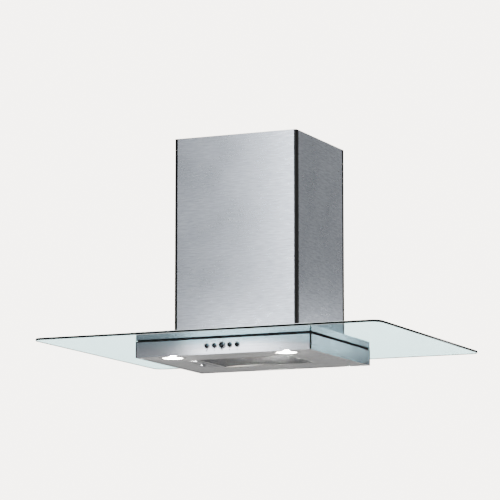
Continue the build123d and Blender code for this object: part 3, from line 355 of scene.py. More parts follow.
# Satin 18/8 stainless, brushed after folding. A real line is a few tenths of a millimetre
# apart; it is drawn wider so that the brushing shows at the size the hood is seen.
COVER_STEEL = Finish("brushed_stainless_cover", "brushed_stainless", "CDD4DE", "A4ABB7",
                     roughness=0.3, pattern=Pattern.BRUSHED_ROUND, spacing=2.8, length=26.0,
                     spread=0.035, relief=0.002)
# The body takes a finer satin: softer lines and clearer reflections than the cover.
BODY_STEEL = Finish("brushed_stainless_body", "brushed_stainless", "C3C6CC", "ACB0B7",
                    roughness=0.22, pattern=Pattern.BRUSHED_ROUND, spacing=1.2, length=120.0,
                    spread=0.03, relief=0.004)
# The underside has the same sheet, coarser and duller, with streaks from wiping.
PAN_STEEL = Finish("brushed_stainless_underside", "underside_steel", "C6C9CE", "989CA3",
                   roughness=0.3, pattern=Pattern.BRUSHED_ALONG, spacing=3.2, length=90.0,
                   spread=0.06, relief=0.02)
# Aluminium extrusion with black anodising: satin, with the die's faint upright lines.
BLACK_PROFILE = Finish("black_anodised_aluminium", "black_profile", "0A0B0C", "040505",
                       metallic=0.0, roughness=0.3, pattern=Pattern.DRAWN, spacing=0.9,
                       length=80.0, ior=1.2)
# Carbon-black EPDM: dark, dull, a little dusty.
GASKET = Finish("epdm_rubber", "gasket_rubber", "131416", "08090A", metallic=0.0,
                roughness=0.75, pattern=Pattern.MOULDED, spacing=1.2, ior=1.52)
# Hot-dip galvanised sheet: overlapping crystals of slightly different brightness.
GALVANISED = Finish("galvanised_steel", "galvanised_steel", "C4C8CB", "9DA2A7",
                    roughness=0.45, pattern=Pattern.SPANGLED, spacing=9.0, spread=0.1)
# Bright zinc plating: bluish white with a fine tooth.
ZINC = Finish("zinc_plated_steel", "zinc_fasteners", "CFD2D4", "AEB1B6", roughness=0.3,
              pattern=Pattern.ROLLED, spacing=0.7)
# Tempered spring strip: darker than stainless, faintly grained.
SPRING = Finish("blued_spring_steel", "spring_steel", "8A8C90", "6C6F75", roughness=0.35,
                pattern=Pattern.ROLLED, spacing=0.9)
# Natural nylon: milky, with a matt moulded skin.
NYLON = Finish("natural_nylon", "nylon", "E8E6DD", "D9D6CB", metallic=0.0, roughness=0.45,
               pattern=Pattern.MOULDED, spacing=1.0, ior=1.53)
# Filter frame and layers: mill-finish aluminium, rolled bright and handled.
FILTER_RIM = Finish("mill_finish_aluminium", "filter_aluminium", "C9CBCE", "A3A6AB",
                    roughness=0.34, pattern=Pattern.BRUSHED_ALONG, spacing=2.4, length=45.0,
                    spread=0.07, relief=0.02)
# Slit strands turn every way, so the layers read darker. That darker grey is painted shade on the
# same aluminium as the rim, and the rolled grain glitters.
FILTER_STRAND_PAINTED_SHADE = Finish("expanded_aluminium_painted_shade", "filter_mesh", "9C9FA4", "6E7278",
                       roughness=0.42, pattern=Pattern.ROLLED, spacing=5.0, spread=0.1)
# Satin chrome: a broad soft highlight along the rounded grip.
LATCH_CHROME = Finish("satin_chrome_latch", "latch_chrome", "B9BCC2", "989BA2",
                      roughness=0.42, spread=0.04)
# Polished chrome: a thin bright ring round each lamp.
LAMP_CHROME = Finish("bright_chrome_trim", "lamp_chrome", "E2E4E7", "C8CBD0",
                     roughness=0.12, spread=0.04)
# Deep-drawn aluminium: dull, with faint rolling grain.
LAMP_CAN = Finish("pressed_aluminium_can", "lamp_housing", "BFC2C5", "9B9EA3",
                  roughness=0.4, pattern=Pattern.ROLLED, spacing=1.6)
# Textured black moulding, as boxes and carriers have.
BLACK_ABS = Finish("black_abs", "black_plastic", "1B1C1E", "101113", metallic=0.0,
                   roughness=0.5, pattern=Pattern.MOULDED, spacing=0.8, relief=0.02,
                   ior=1.54)
# Textured grey moulding: the flaps and the power box.
GREY_ABS = Finish("grey_abs", "grey_plastic", "9A9DA0", "8B8E92", metallic=0.0,
                  roughness=0.48, pattern=Pattern.MOULDED, spacing=0.9, relief=0.02,
                  ior=1.54)
# Green solder resist under a thin gloss.
CIRCUIT = Finish("solder_resist_laminate", "circuit_board", "1C6B3C", "11502B",
                 metallic=0.0, roughness=0.35, pattern=Pattern.ROLLED, spacing=2.2,
                 coat=0.4)
# Button caps are plated dark, so that they read nearly black with bright reflections.
BUTTON_CAP = Finish("black_chrome_cap", "button_chrome", "3A3C40", "232528",
                    roughness=0.16, spread=0.02)
# Plated barrel and rolled rim: lighter than the cap, so that each button has an outline.
BUTTON_BODY = Finish("chromed_abs_button", "button_chrome", "B9BCC0", "9DA0A6",
                     roughness=0.16, spread=0.03)
# Bright satin chrome: a light ring round each dark button.
BEZEL_CHROME = Finish("bright_chrome_bezel", "bezel_chrome", "F4F5F6", "E6E8EA",
                      roughness=0.24, spread=0.03)
# Stoved enamel with a faint orange peel.
MOTOR_PAINT = Finish("stoved_black_enamel", "motor_paint", "2E3033", "1E2022", metallic=0.0,
                     roughness=0.4, pattern=Pattern.MOULDED, spacing=1.4, relief=0.04,
                     coat=0.3)
# Glass-filled nylon: dark grey and slightly rough.
IMPELLER_PLASTIC = Finish("glass_filled_nylon", "impeller_plastic", "26282A", "191A1C",
                          metallic=0.0, roughness=0.42, pattern=Pattern.MOULDED,
                          spacing=1.1, ior=1.53)
# White plastic can with a low sheen.
CAN = Finish("white_polypropylene_can", "capacitor_can", "E9E8E2", "DAD8D0", metallic=0.0,
             roughness=0.38, pattern=Pattern.MOULDED, spacing=1.5, ior=1.49)
GLASS = ClearGlass()
LAMP_LIGHT = LitLens("pressed_glass_lens", "lamp_lens", "FFFBF2", 14.0)
# The indicators are out: a dark smoked dome over each light guide.
INDICATOR_DOME = Finish("smoked_acrylic", "indicator", "4A4D50", "2C2E31", metallic=0.0,
                        roughness=0.12, spacing=6.0, ior=1.49, coat=0.5)


# ------------------------------------------------------------------ mesh work
def edges_sharper_than(bm: bmesh.types.BMesh, degrees: float) -> list[bmesh.types.BMEdge]:
    """Lists the edges where two faces meet at more than that angle."""
    limit = math.radians(degrees)
    return [e for e in bm.edges if len(e.link_faces) == 2 and e.calc_face_angle(0) > limit]


def copy_of(node: str) -> bmesh.types.BMesh:
    """Copies a CAD node's mesh.

    Args:
        node: The CAD node.

    Returns:
        The copy, merged, with its flat faces joined.
    """
    bm = bmesh.new()
    bm.from_mesh(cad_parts[node].data)
    bmesh.ops.remove_doubles(bm, verts=bm.verts, dist=MERGE_DISTANCE)
    bmesh.ops.dissolve_limit(bm, angle_limit=math.radians(SAME_PLANE), verts=bm.verts,
                             edges=bm.edges, use_dissolve_boundaries=False)
    return bm


def soften(bm: bmesh.types.BMesh, edges: list[bmesh.types.BMEdge], width: float,
           segments: int) -> None:
    """Bevels edges of a mesh.

    Args:
        bm: The mesh.
        edges: The edges.
        width: Width of the bevel, in metres.
        segments: Faces across it: 1 for a chamfer, more for a rounding.
    """
    bmesh.ops.bevel(bm, geom=edges, offset=width, offset_type="OFFSET", segments=segments,
                    profile=0.5, affect="EDGES", material=-1, clamp_overlap=True)


def turned(profile: list[tuple[float, float]], steps: int) -> bmesh.types.BMesh:
    """Spins a closed-at-the-axis outline round Z.

    Args:
        profile: Radius and height of each point, in metres.
        steps: Steps in the full turn.

    Returns:
        The turned shape, merged, with its faces pointing outwards.
    """
    bm = bmesh.new()
    points = [bm.verts.new((radius, 0, height)) for radius, height in profile]
    lines = [bm.edges.new(pair) for pair in zip(points, points[1:])]
    bmesh.ops.spin(bm, geom=points + lines, cent=(0, 0, 0), axis=(0, 0, 1),
                   angle=2 * math.pi, steps=steps, use_merge=True)
    bmesh.ops.remove_doubles(bm, verts=bm.verts, dist=1e-7)
    bmesh.ops.recalc_face_normals(bm, faces=bm.faces)
    return bm


def add_copies(whole: bmesh.types.BMesh, shape: bmesh.types.BMesh,
               places: list[Matrix]) -> None:
    """Adds one copy of a shape for each place.

    Args:
        whole: The mesh that takes the copies.
        shape: The shape to repeat, which is freed.
        places: Where each copy goes.
    """
    source = bpy.data.meshes.new("pattern_shape")
    shape.to_mesh(source)
    shape.free()
    for place in places:
        fresh = len(whole.verts)
        whole.from_mesh(source)
        whole.verts.ensure_lookup_table()
        bmesh.ops.transform(whole, matrix=place, verts=whole.verts[fresh:])
    bpy.data.meshes.remove(source)


@dataclass(frozen=True)
class Piece:
    """What a finished piece is called, rides on, stands for and is made of.

    Args:
        name: The piece's name.
        body: The CAD body that it moves with.
        slot: The record's material slot; not used.
        materials: Its materials, in the order of its faces' numbers.
        replaces: The CAD nodes that it stands for.
        smooth_below: Edges flatter than this angle, in degrees, are shaded smooth.
    """

    name: str
    body: str
    slot: str
    materials: tuple[bpy.types.Material, ...]
    replaces: tuple[str, ...] = ()
    smooth_below: float = 35.0

    def make(self, bm: bmesh.types.BMesh) -> bpy.types.Object:
        """Turns the mesh into an object of the model.

        Args:
            bm: The finished mesh in the row frame, which is freed.

        Returns:
            The new object, riding on its body.
        """
        for face in bm.faces:
            face.smooth = face.calc_area() < FLAT_AREA
        for edge in edges_sharper_than(bm, self.smooth_below):
            edge.smooth = False
        mesh = bpy.data.meshes.new(self.name)
        bm.to_mesh(mesh)
        bm.free()
        for material in self.materials:
            mesh.materials.append(material)
        piece = bpy.data.objects.new(self.name, mesh)
        bpy.context.scene.collection.objects.link(piece)
        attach(piece, self.body)
        if self.replaces:
            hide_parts(*self.replaces)
        LOG.info("%s: %d faces on %s", self.name, len(mesh.polygons), self.body)
        return piece


def dress(finish: Finish, *nodes: str) -> None:
    """Gives CAD nodes a finish through their objects' material slots.

    Args:
        finish: The finish.
        *nodes: The CAD nodes that take it.
    """
    for node in nodes:
        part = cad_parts[node]
        if not part.data.materials:
            part.data.materials.append(finish.material())
        for slot in part.material_slots:
            slot.link = "OBJECT"
            slot.material = finish.material()
        LOG.info("%s: %s", node, finish.name)


def ease(finish: Finish, body: str, width: float, *nodes: str) -> None:
    """Makes CAD sheet parts again with rounded edges.

    Args:
        finish: Their finish.
        body: The body that they ride on.
        width: Width of the rounding, in metres.
        *nodes: The CAD nodes to make again, one piece each.
    """
    for node in nodes:
        bm = copy_of(node)
        soften(bm, edges_sharper_than(bm, SHARP_EDGE), width, 2)
        Piece(node + "_eased", body, finish.slot, (finish.material(),), (node,)).make(bm)


# ------------------------------------------------------------------ the hood's parts
@dataclass
class CeilingFrame:
    """The fixed frame under the ceiling, and the inner sleeve that slides in the cover.

    Args:
        edge: Rounding of the sleeve's sheet edges.
    """

    edge: float = 0.3 * MM

    def build(self) -> None:
        """Dresses the plate and legs, and makes the sleeve with eased edges."""
        dress(GALVANISED, "ceiling_plate", "upper_legs")
        ease(COVER_STEEL, "ceiling_frame", self.edge, "upper_sleeve_front",
             "upper_sleeve_rear")


@dataclass
class Cover:
    """The square cover: four brushed panels held in black corner profiles.

    Args:
        edge: Rounding of the sheet and profile edges.
    """

    edge: float = 0.4 * MM

    def build(self) -> None:
        """Makes the panels and the corner profiles with eased edges."""
        ease(COVER_STEEL, "hood", self.edge, "chimney_front_panel", "chimney_right_panel",
             "chimney_left_panel", "chimney_rear_panel")
        ease(BLACK_PROFILE, "hood", self.edge, "chimney_corners")
        dress(GALVANISED, "lower_legs")
        dress(ZINC, "clamp_bolts", "frame_screws")


@dataclass
class GlassCanopy:
    """The toughened sheet, with a polished rim between two ground chamfers.

    Args:
        upper_chamfer: Width of the chamfer round the upper face.
        lower_chamfer: Width of the chamfer round the lower face.
        corner: Edges sharper than this, in degrees, lie between a face and the rim.
    """

    upper_chamfer: float = 0.2 * MM
    lower_chamfer: float = 0.5 * MM
    corner: float = 60.0

    def build(self) -> None:
        """Makes the sheet from its CAD node, with clear, rim and chamfer faces."""
        bm = copy_of("glass_canopy")
        low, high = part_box("glass_canopy")
        middle = (low.z + high.z) / 2
        for width, side in ((self.upper_chamfer, 1), (self.lower_chamfer, -1)):
            rims = [edge for edge in edges_sharper_than(bm, self.corner)
                    if all(side * (vert.co.z - middle) > 0 for vert in edge.verts)]
            soften(bm, rims, width, 1)
        for face in bm.faces:
            face.material_index = self.part_of(face.normal)
        Piece("glass_sheet", "hood", GLASS.slot, (GLASS.face(), GLASS.edge(), GLASS.chamfer()),
              ("glass_canopy",), smooth_below=25.0).make(bm)
        dress(GASKET, "upper_gasket", "lower_gasket")
        dress(NYLON, "glass_sleeves")

    @staticmethod
    def part_of(normal: Vector) -> int:
        """Returns 0 for a large face, 1 for the rim and 2 for a chamfer, by how a face lies."""
        level = abs(normal.z)
        if level > 0.95:
            return 0
        return 1 if level < 0.2 else 2


@dataclass
class LowerBody:
    """The slim body under the glass, the tray above it and the pan that closes it.

    Args:
        edge: Rounding of the body's sheet edges.
        pan_edge: Rounding of the pan's edges, which are nearer the filter.
    """

    edge: float = 0.4 * MM
    pan_edge: float = 0.3 * MM

    def build(self) -> None:
        """Makes the folded sheet parts with eased edges."""
        ease(BODY_STEEL, "hood", self.edge, "fascia", "body_left_panel", "body_right_panel",
             "body_rear_panel", "upper_tray")
        ease(PAN_STEEL, "hood", self.pan_edge, "underside_pan")
        dress(BLACK_PROFILE, "body_corners")


@dataclass
class Controls:
    """Five push buttons in chrome bezels, with an indicator under each.

    Args:
        shoulder: How far a button's flange stands out past its barrel.
        bezel_gap: Gap between barrel and bezel.
        bezel_width: Width of a bezel's rounded top.
        bezel_sink: How far a bezel's neck reaches into the fascia.
        bezel_step: How much narrower the neck is than the top.
        dome_share: Radius of a cap's dome as a share of the barrel's.
        dome_rise: Height of a cap's dome.
        dome_sink: How far a cap reaches into its barrel.
        roll: Share of the barrel's radius past the dome, and height, along a cap's rolled rim.
        light_rise: Height of an indicator's dome.
        steps: Steps in a full turn of a cap or bezel.
        names: The buttons, from left to right.
    """

    shoulder: float = 1.2 * MM
    bezel_gap: float = 0.3 * MM
    bezel_width: float = 1.7 * MM
    bezel_sink: float = 0.9 * MM
    bezel_step: float = 0.8 * MM
    dome_share: float = 0.82
    dome_rise: float = 0.9 * MM
    dome_sink: float = 0.05 * MM
    roll: tuple[tuple[float, float], ...] = ((0.02, 0.15 * MM), (0.07, 0.3 * MM), (0.12, 0.2 * MM))
    light_rise: float = 0.5 * MM
    steps: int = 48
    names: tuple[str, ...] = ("button_1", "button_2", "button_3", "button_4", "button_5")

    def build(self) -> None:
        """Makes the caps and bezels, and dresses what is behind the fascia."""
        rings = bmesh.new()
        for name in self.names:
            add_copies(rings, *self.bezel(name))
        Piece("button_bezel_rings", "hood", BEZEL_CHROME.slot, (BEZEL_CHROME.material(),),
              ("button_bezels",)).make(rings)
        for name in self.names:
            dress(BUTTON_BODY, name)
            Piece(name + "_cap", name, BUTTON_CAP.slot,
                  (BUTTON_CAP.material(), BUTTON_BODY.material())).make(self.cap(name))
        self.indicators()
        dress(BLACK_ABS, "button_carrier")
        dress(CIRCUIT, "control_board")

    def front_of(self, name: str) -> tuple[Vector, float]:
        """Returns the centre of a button's front face and the radius of its barrel."""
        low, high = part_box(name)
        centre = Vector(((low.x + high.x) / 2, low.y, (low.z + high.z) / 2))
        return centre, (high.x - low.x) / 2 - self.shoulder

    def facing_front(self, centre: Vector) -> Matrix:
        """Returns the placement that turns a shape's +Z to face the user at a point."""
        return Matrix.Translation(centre) @ Matrix.Rotation(math.radians(90), 4, "X")

    def bezel(self, name: str) -> tuple[bmesh.types.BMesh, list[Matrix]]:
        """Turns one round-topped bezel ring.

        Args:
            name: The button that it surrounds.

        Returns:
            The ring about its own axis, and its one place on the fascia.
        """
        centre, radius = self.front_of(name)
        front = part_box("fascia")[0].y
        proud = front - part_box("button_bezels")[0].y
        inner = radius + self.bezel_gap
        outer = inner + self.bezel_width
        middle, half = (inner + outer) / 2, (outer - inner) / 2
        arch = [(middle - half * math.cos(turn), proud * math.sin(turn))
                for turn in (math.pi * step / 8 for step in range(9))]
        neck = outer - self.bezel_step
        outline = arch + [(neck, 0), (neck, -self.bezel_sink), (inner, -self.bezel_sink), arch[0]]
        place = self.facing_front(Vector((centre.x, front, centre.z)))
        return turned(outline, self.steps), [place]

    def cap(self, name: str) -> bmesh.types.BMesh:
        """Turns one button's plated cap: a low dome inside a bright rolled rim.

        Args:
            name: The button that it closes.

        Returns:
            The cap, in the row frame.
        """
        centre, radius = self.front_of(name)
        rim = self.dome_share * radius
        dome = [(rim * math.sin(turn), self.dome_rise * math.cos(turn) ** 2)
                for turn in (math.pi / 2 * step / 10 for step in range(11))]
        roll = [(rim + share * radius, height) for share, height in self.roll]
        foot = [(radius - 0.5 * MM, 0.02 * MM), (radius - 0.6 * MM, -self.dome_sink)]
        outline = dome + roll + foot + [(0, -self.dome_sink)]
        bm = turned(outline, self.steps)
        for face in bm.faces:
            if face.calc_center_median().xy.length > rim:
                face.material_index = 1
        bmesh.ops.transform(bm, matrix=self.facing_front(centre), verts=bm.verts)
        return bm

    def indicators(self) -> None:
        """Makes the small domed light guides under the buttons."""
        low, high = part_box("indicator_lenses")
        radius = (high.z - low.z) / 2
        height = (high.z + low.z) / 2
        depth = high.y - low.y
        dome = [(radius * math.sin(turn), self.light_rise * math.cos(turn))
                for turn in (math.pi / 2 * step / 5 for step in range(6))]
        guide = turned(dome + [(radius, -depth), (0, -depth)], 20)
        places = [self.facing_front(Vector((self.front_of(name)[0].x, low.y, height)))
                  for name in self.names]
        domes = bmesh.new()
        add_copies(domes, guide, places)
        Piece("indicator_domes", "hood", INDICATOR_DOME.slot, (INDICATOR_DOME.material(),),
              ("indicator_lenses",)).make(domes)


@dataclass
class Lamps:
    """Two recessed lamps: a bright trim ring, a ribbed lens and the light that they throw.

    Args:
        lip: Radius of a lens inside its ring.
        bulge: How far a lens swells out at its middle.
        proud: How far a lens's rim stands out of the CAD lens.
        rib: Height of the pressed ribs at the middle.
        ribs: Ribs from the middle to the rim.
        ring_edge: Rounding of the rings' edges.
        steps: Steps in a full turn.
        glow_power: Power of each lamp's light, in watts.
        glow_drop: How far below its lens each light hangs.
    """

    lip: float = 24.8 * MM
    bulge: float = 1.3 * MM
    proud: float = 0.5 * MM
    rib: float = 0.22 * MM
    ribs: int = 7
    ring_edge: float = 0.25 * MM
    steps: int = 72
    glow_power: float = 1.6
    glow_drop: float = 11 * MM

    def centres(self) -> list[Vector]:
        """Returns the centre of each lens's outer face."""
        low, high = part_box("lamp_lenses")
        radius = (high.y - low.y) / 2
        middle = (low.y + high.y) / 2
        return [Vector((low.x + radius, middle, low.z)),
                Vector((high.x - radius, middle, low.z))]

    def lens_outline(self) -> list[tuple[float, float]]:
        """Returns the half section of a bulging lens with pressed ribs, downwards as minus."""
        low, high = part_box("lamp_lenses")
        radius = (high.y - low.y) / 2
        thickness = high.z - low.z
        count = self.ribs * 8
        face = []
        for step in range(count + 1):
            share = step / count
            ripple = self.rib * math.sin(2 * math.pi * self.ribs * share) * (1 - share)
            sag = self.bulge * (1 - share * share)
            face.append((self.lip * share, -sag - self.proud + ripple))
        wall = radius - 0.2 * MM
        return face + [(self.lip, 0), (wall, 0), (wall, thickness), (0, thickness)]

    def build(self) -> None:
        """Makes the rings, the lenses and their glow, and dresses the cans."""
        centres = self.centres()
        lenses = bmesh.new()
        add_copies(lenses, turned(self.lens_outline(), self.steps),
                   [Matrix.Translation(centre) for centre in centres])
        Piece("ribbed_lenses", "hood", LAMP_LIGHT.slot, (LAMP_LIGHT.material(),),
              ("lamp_lenses",)).make(lenses)
        ease(LAMP_CHROME, "hood", self.ring_edge, "lamp_rings")
        dress(LAMP_CAN, "lamp_housings")
        dress(BLACK_ABS, "lamp_driver")
        for side, centre in zip(("left", "right"), centres):
            self.glow(side, centre)

    def glow(self, side: str, centre: Vector) -> None:
        """Adds the light that one lamp throws along the underside.

        Args:
            side: left or right, for its name.
            centre: The lens's centre.
        """
        data = bpy.data.lights.new(side + "_lamp_glow", "POINT")
        data.energy = self.glow_power
        data.color = linear("FFF9EE")[:3]
        data.shadow_soft_size = 8 * MM
        glow = bpy.data.objects.new(data.name, data)
        glow.location = centre - Vector((0, 0, self.glow_drop))
        glow.visible_camera = False
        bpy.context.scene.collection.objects.link(glow)
        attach(glow, "hood")


@dataclass(frozen=True)
class ExpandedLayer:
    """One slit and stretched aluminium layer of the filter.

    Args:
        name: The piece's name.
        long_way: Length of a diamond along X.
        short_way: Width of a diamond along Y.
        strand: Width of a strand.
        gauge: Thickness of the sheet before stretching.
        twist: How far the knuckles stand out of the sheet.
        level: Where the layer lies, from 0 at the mesh's underside to 1 at its top.
    """

    name: str
    long_way: float
    short_way: float
    strand: float
    gauge: float
    twist: float
    level: float

    def build(self, low: Vector, high: Vector) -> bmesh.types.BMesh:
        """Makes the layer across the window.

        Args:
            low: Lowest corner of the mesh's space.
            high: Highest corner of the mesh's space.

        Returns:
            The layer as a thick lattice of diamonds.
        """
        size = high - low
        bm = bmesh.new()
        bmesh.ops.create_grid(bm, x_segments=round(size.x / self.long_way),
                              y_segments=round(size.y / self.short_way), size=0.5)
        bmesh.ops.scale(bm, vec=(size.x, size.y, 1), verts=bm.verts)
        corners = bm.verts[:]
        lines = bm.edges[:]
        bmesh.ops.poke(bm, faces=bm.faces[:], offset=0)
        inner = [line for line in lines if len(line.link_faces) == 2]
        bmesh.ops.dissolve_edges(bm, edges=inner, use_verts=False)
        bmesh.ops.translate(bm, vec=(0, 0, self.twist), verts=corners)
        openings = bm.faces[:]
        bmesh.ops.inset_individual(bm, faces=openings, thickness=self.strand / 2,
                                   use_even_offset=True)
        bmesh.ops.delete(bm, geom=openings, context="FACES")
        bmesh.ops.solidify(bm, geom=bm.faces[:], thickness=self.gauge)
        rise = self.gauge + self.level * (size.z - 2 * self.gauge - self.twist)
        middle = Vector(((low.x + high.x) / 2, (low.y + high.y) / 2, low.z + rise))
        bmesh.ops.translate(bm, vec=middle, verts=bm.verts)
        return bm


@dataclass
class GreaseFilter:
    """The hinged filter: a folded rim, its layers of expanded aluminium and the latch.

    Args:
        rim_edge: Rounding of the folded rim's edges.
        latch_edge: Rounding of the latch's and its plate's edges.
        layers: The expanded layers, from the underside up.
    """

    rim_edge: float = 0.5 * MM
    latch_edge: float = 0.3 * MM
    layers: tuple[ExpandedLayer, ...] = (
        ExpandedLayer("filter_layer_outer", 10 * MM, 5.2 * MM, 1.3 * MM, 0.45 * MM, 0.9 * MM, 0.0),
        ExpandedLayer("filter_layer_middle", 7 * MM, 4.0 * MM, 1.0 * MM, 0.4 * MM, 0.7 * MM, 0.45),
        ExpandedLayer("filter_layer_inner", 11 * MM, 6.0 * MM, 1.5 * MM, 0.45 * MM, 0.9 * MM, 0.9),
    )

    def build(self) -> None:
        """Makes the layers and eases the rim and latch."""
        low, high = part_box("filter_mesh")
        for layer in self.layers:
            Piece(layer.name, "filter", FILTER_STRAND_PAINTED_SHADE.slot, (FILTER_STRAND_PAINTED_SHADE.material(),),
                  ("filter_mesh",)).make(layer.build(low, high))
        ease(FILTER_RIM, "filter", self.rim_edge, "filter_frame")
        ease(LATCH_CHROME, "filter", self.latch_edge, "latch_plate")
        ease(LATCH_CHROME, "latch", self.latch_edge, "filter_latch")
        dress(SPRING, "filter_catch")


@dataclass
class Blower:
    """The double-inlet fan in its galvanised plenum, with its flaps and wiring boxes."""

    def build(self) -> None:
        """Dresses the fan, its mounting, the outlet and the electrical boxes."""
        dress(GALVANISED, "plenum_wrapper", "plenum_end_plates", "scroll_left_side",
              "scroll_right_side", "scroll_wrap", "motor_bracket")
        dress(IMPELLER_PLASTIC, "impeller")
        dress(ZINC, "motor_shaft", "flap_pin")
        dress(MOTOR_PAINT, "motor")
        dress(GASKET, "motor_bushes")
        dress(BLACK_ABS, "outlet_collar", "cable_gland", "terminal_box")
        dress(GREY_ABS, "flap_front", "flap_rear", "power_box", "power_box_lid")
        dress(CAN, "capacitor")


# ------------------------------------------------------------------ studio
def seen_directly(tree: bpy.types.NodeTree) -> bpy.types.NodeSocket:
    """Builds a value that is 1 for what is seen straight on or through glass, else 0.

    Args:
        tree: The node tree of the world or material.

    Returns:
        The value, 0 for anything that a surface reflects.
    """
    path = add_node(tree, "ShaderNodeLightPath")
    bounces = add_node(tree, "ShaderNodeMath",
                       {0: path.outputs["Diffuse Depth"], 1: path.outputs["Glossy Depth"]},
                       operation="ADD").outputs["Value"]
    return add_node(tree, "ShaderNodeMath", {0: bounces, 1: 0.5},
                    operation="LESS_THAN").outputs["Value"]


@dataclass(frozen=True)
class SoftBox:
    """One large soft light, aimed at a point.

    Args:
        name: Its name.
        place: Where it stands.
        target: What it faces.
        width: Its width.
        height: Its height.
        brightness: Its brightness, where 1 matches the white of the background.
        roll: How far it is turned about its own line of sight, in degrees.
        shade: sRGB hex of its light.
    """

    name: str
    place: tuple[float, float, float]
    target: tuple[float, float, float]
    width: float
    height: float
    brightness: float
    roll: float = 0.0
    shade: str = "FFFFFF"

    def build(self) -> None:
        """Adds the light."""
        data = bpy.data.lights.new(self.name, "AREA")
        data.shape = "RECTANGLE"
        data.size, data.size_y = self.width, self.height
        data.energy = self.brightness * math.pi * self.width * self.height
        data.color = linear(self.shade)[:3]
        light = bpy.data.objects.new(self.name, data)
        aim = (Vector(self.target) - Vector(self.place)).to_track_quat("-Z", "Y")
        turn = Matrix.Rotation(math.radians(self.roll), 4, "Z")
        light.matrix_world = Matrix.Translation(self.place) @ aim.to_matrix().to_4x4() @ turn
        light.visible_camera = False
        bpy.context.scene.collection.objects.link(light)


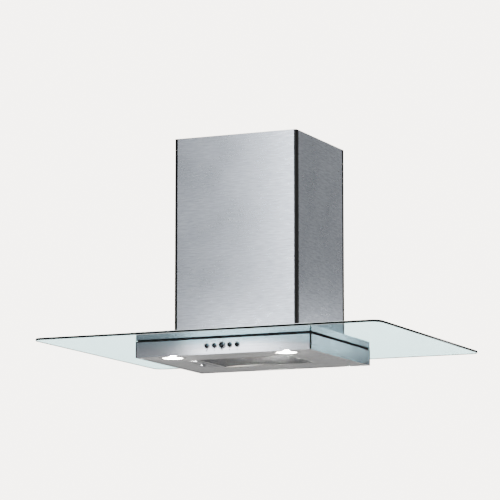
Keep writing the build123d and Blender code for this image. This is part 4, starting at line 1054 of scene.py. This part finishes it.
@dataclass
class Studio:
    """Pale walls, a pale floor and soft lights.

    The walls that are seen, directly or through the glass, are much brighter than the room
    that lights the metal, so that the hood stands dark against them as in a light tent.

    Args:
        wall: sRGB hex of the walls.
        wall_brightness: Brightness of the walls and floor where they are seen.
        floor_shade: sRGB hex of the floor's paint where it is lightest.
        floor_dark_shade: The same where it is darkest.
        floor_level: Height of the floor.
        floor_radius: Radius of the floor.
        floor_glow: Brightness of the floor in reflections.
        floor_lit: Brightness that the seen floor already has from the lights.
        room: sRGB hex of the room's light.
        room_dark: Brightness of the room on its dark side.
        room_light: Brightness of the room on its bright side.
        bright_side: Direction of the bright side.
        dark_end: Where along that direction the room is darkest, from -1 to 1.
        light_end: Where along it the room is lightest.
        soft_boxes: The lights.
    """

    wall: str = "FFF9F1"
    wall_brightness: float = 6.3
    floor_shade: str = "F4F1ED"
    floor_dark_shade: str = "EFECE8"
    floor_level: float = -2.4
    floor_radius: float = 40.0
    floor_glow: float = 0.3
    floor_lit: float = 1.5
    room: str = "ECF0F6"
    room_dark: float = 0.17
    room_light: float = 0.34
    bright_side: tuple[float, float, float] = (-0.5, -0.8, 0.25)
    dark_end: float = -0.7
    light_end: float = 0.9
    soft_boxes: tuple[SoftBox, ...] = (
        SoftBox("front_soft_box", (0.03, -1.15, 0.1), (0.14, -0.15, -0.1), 0.6, 0.92, 6.2),
        SoftBox("low_strip", (-0.225, -0.8, -0.45), (0.0, -0.23, -0.53), 0.22, 0.1, 9.0),
        SoftBox("right_strip", (0.9, 1.45, -0.3), (0.23, -0.05, -0.53), 0.1, 0.08, 16.0),
        SoftBox("left_wall_light", (-2.6, 0.6, 0.4), (0.0, 0.0, -0.3), 1.2, 1.4, 3.0),
        SoftBox("back_soft_box", (0.4, 2.9, 0.5), (0.0, 0.1, -0.3), 1.2, 1.0, 0.4),
    )

    def build(self) -> None:
        """Makes the floor, the surroundings and the lights."""
        self.make_floor()
        self.make_surroundings()
        for box in self.soft_boxes:
            box.build()

    def make_floor(self) -> None:
        """Lays a round floor that is seen from above only, as pale as the walls."""
        bm = bmesh.new()
        bmesh.ops.create_circle(bm, cap_ends=True, segments=96, radius=self.floor_radius)
        bmesh.ops.translate(bm, vec=(0, 0, self.floor_level), verts=bm.verts)
        mesh = bpy.data.meshes.new("studio_floor")
        bm.to_mesh(mesh)
        bm.free()
        floor = bpy.data.objects.new("studio_floor", mesh)
        bpy.context.scene.collection.objects.link(floor)
        material = Finish("pale_painted_floor", "", self.floor_shade, self.floor_dark_shade,
                          metallic=0.0, roughness=0.8, spacing=300.0, spread=0.03).material()
        tree = material.node_tree
        level = add_node(tree, "ShaderNodeMath",
                         {0: seen_directly(tree), 1: self.wall_brightness - self.floor_lit,
                          2: self.floor_glow},
                         operation="MULTIPLY_ADD").outputs["Value"]
        shader = tree.nodes["Principled BSDF"]
        shader.inputs["Emission Color"].default_value = linear(self.wall)
        tree.links.new(level, shader.inputs["Emission Strength"])
        clear = add_node(tree, "ShaderNodeBsdfTransparent")
        under = add_node(tree, "ShaderNodeNewGeometry").outputs["Backfacing"]
        either = add_node(tree, "ShaderNodeMixShader",
                          {0: under, 1: shader.outputs[0], 2: clear.outputs[0]})
        tree.links.new(either.outputs[0], tree.nodes["Material Output"].inputs["Surface"])
        mesh.materials.append(material)

    def make_surroundings(self) -> None:
        """Sets the bright walls that are seen and the dimmer room that lights the hood."""
        world = bpy.data.worlds.new("studio_walls")
        bpy.context.scene.world = world
        world.use_nodes = True
        tree = world.node_tree
        tree.nodes.clear()
        direction = add_node(tree, "ShaderNodeTexCoord").outputs["Generated"]
        front = add_node(tree, "ShaderNodeVectorMath", {0: direction, 1: self.bright_side},
                         operation="DOT_PRODUCT").outputs["Value"]
        level = add_node(tree, "ShaderNodeMapRange",
                         {"Value": front, "From Min": self.dark_end,
                          "From Max": self.light_end, "To Min": self.room_dark,
                          "To Max": self.room_light},
                         interpolation_type="SMOOTHSTEP")
        seen = add_node(tree, "ShaderNodeBackground",
                        {"Color": linear(self.wall), "Strength": self.wall_brightness})
        room = add_node(tree, "ShaderNodeBackground",
                        {"Color": linear(self.room), "Strength": level.outputs["Result"]})
        either = add_node(tree, "ShaderNodeMixShader",
                          {0: seen_directly(tree), 1: room.outputs[0], 2: seen.outputs[0]})
        add_node(tree, "ShaderNodeOutputWorld", {"Surface": either.outputs[0]})


@dataclass
class ViewCamera:
    """A long lens, below the canopy and a little to the right of the controls.

    Args:
        place: Where it stands.
        tilt: Turn about X, in degrees: 90 looks level.
        heading: Turn about Z, in degrees.
        focal_length: In millimetres.
    """

    place: tuple[float, float, float] = (2.846, -6.510, -1.356)
    tilt: float = 98.72
    heading: float = 23.82
    focal_length: float = 208.9

    def build(self) -> None:
        """Adds the camera and makes it the scene's own."""
        data = bpy.data.cameras.new("view_camera")
        data.lens = self.focal_length
        data.sensor_width = 36.0
        data.clip_start, data.clip_end = 0.1, 100.0
        camera = bpy.data.objects.new("view_camera", data)
        camera.location = self.place
        camera.rotation_euler = (math.radians(self.tilt), 0, math.radians(self.heading))
        bpy.context.scene.collection.objects.link(camera)
        bpy.context.scene.camera = camera


def main() -> None:
    """Builds the camera, the studio and each sub-assembly."""
    logging.basicConfig(level=logging.INFO, format="%(name)s: %(message)s")
    for part in (ViewCamera(), Studio(), CeilingFrame(), Cover(), GlassCanopy(), LowerBody(),
                 Controls(), Lamps(), GreaseFilter(), Blower()):
        LOG.info("building %s", type(part).__name__)
        part.build()


if __name__ == "__main__":
    main()
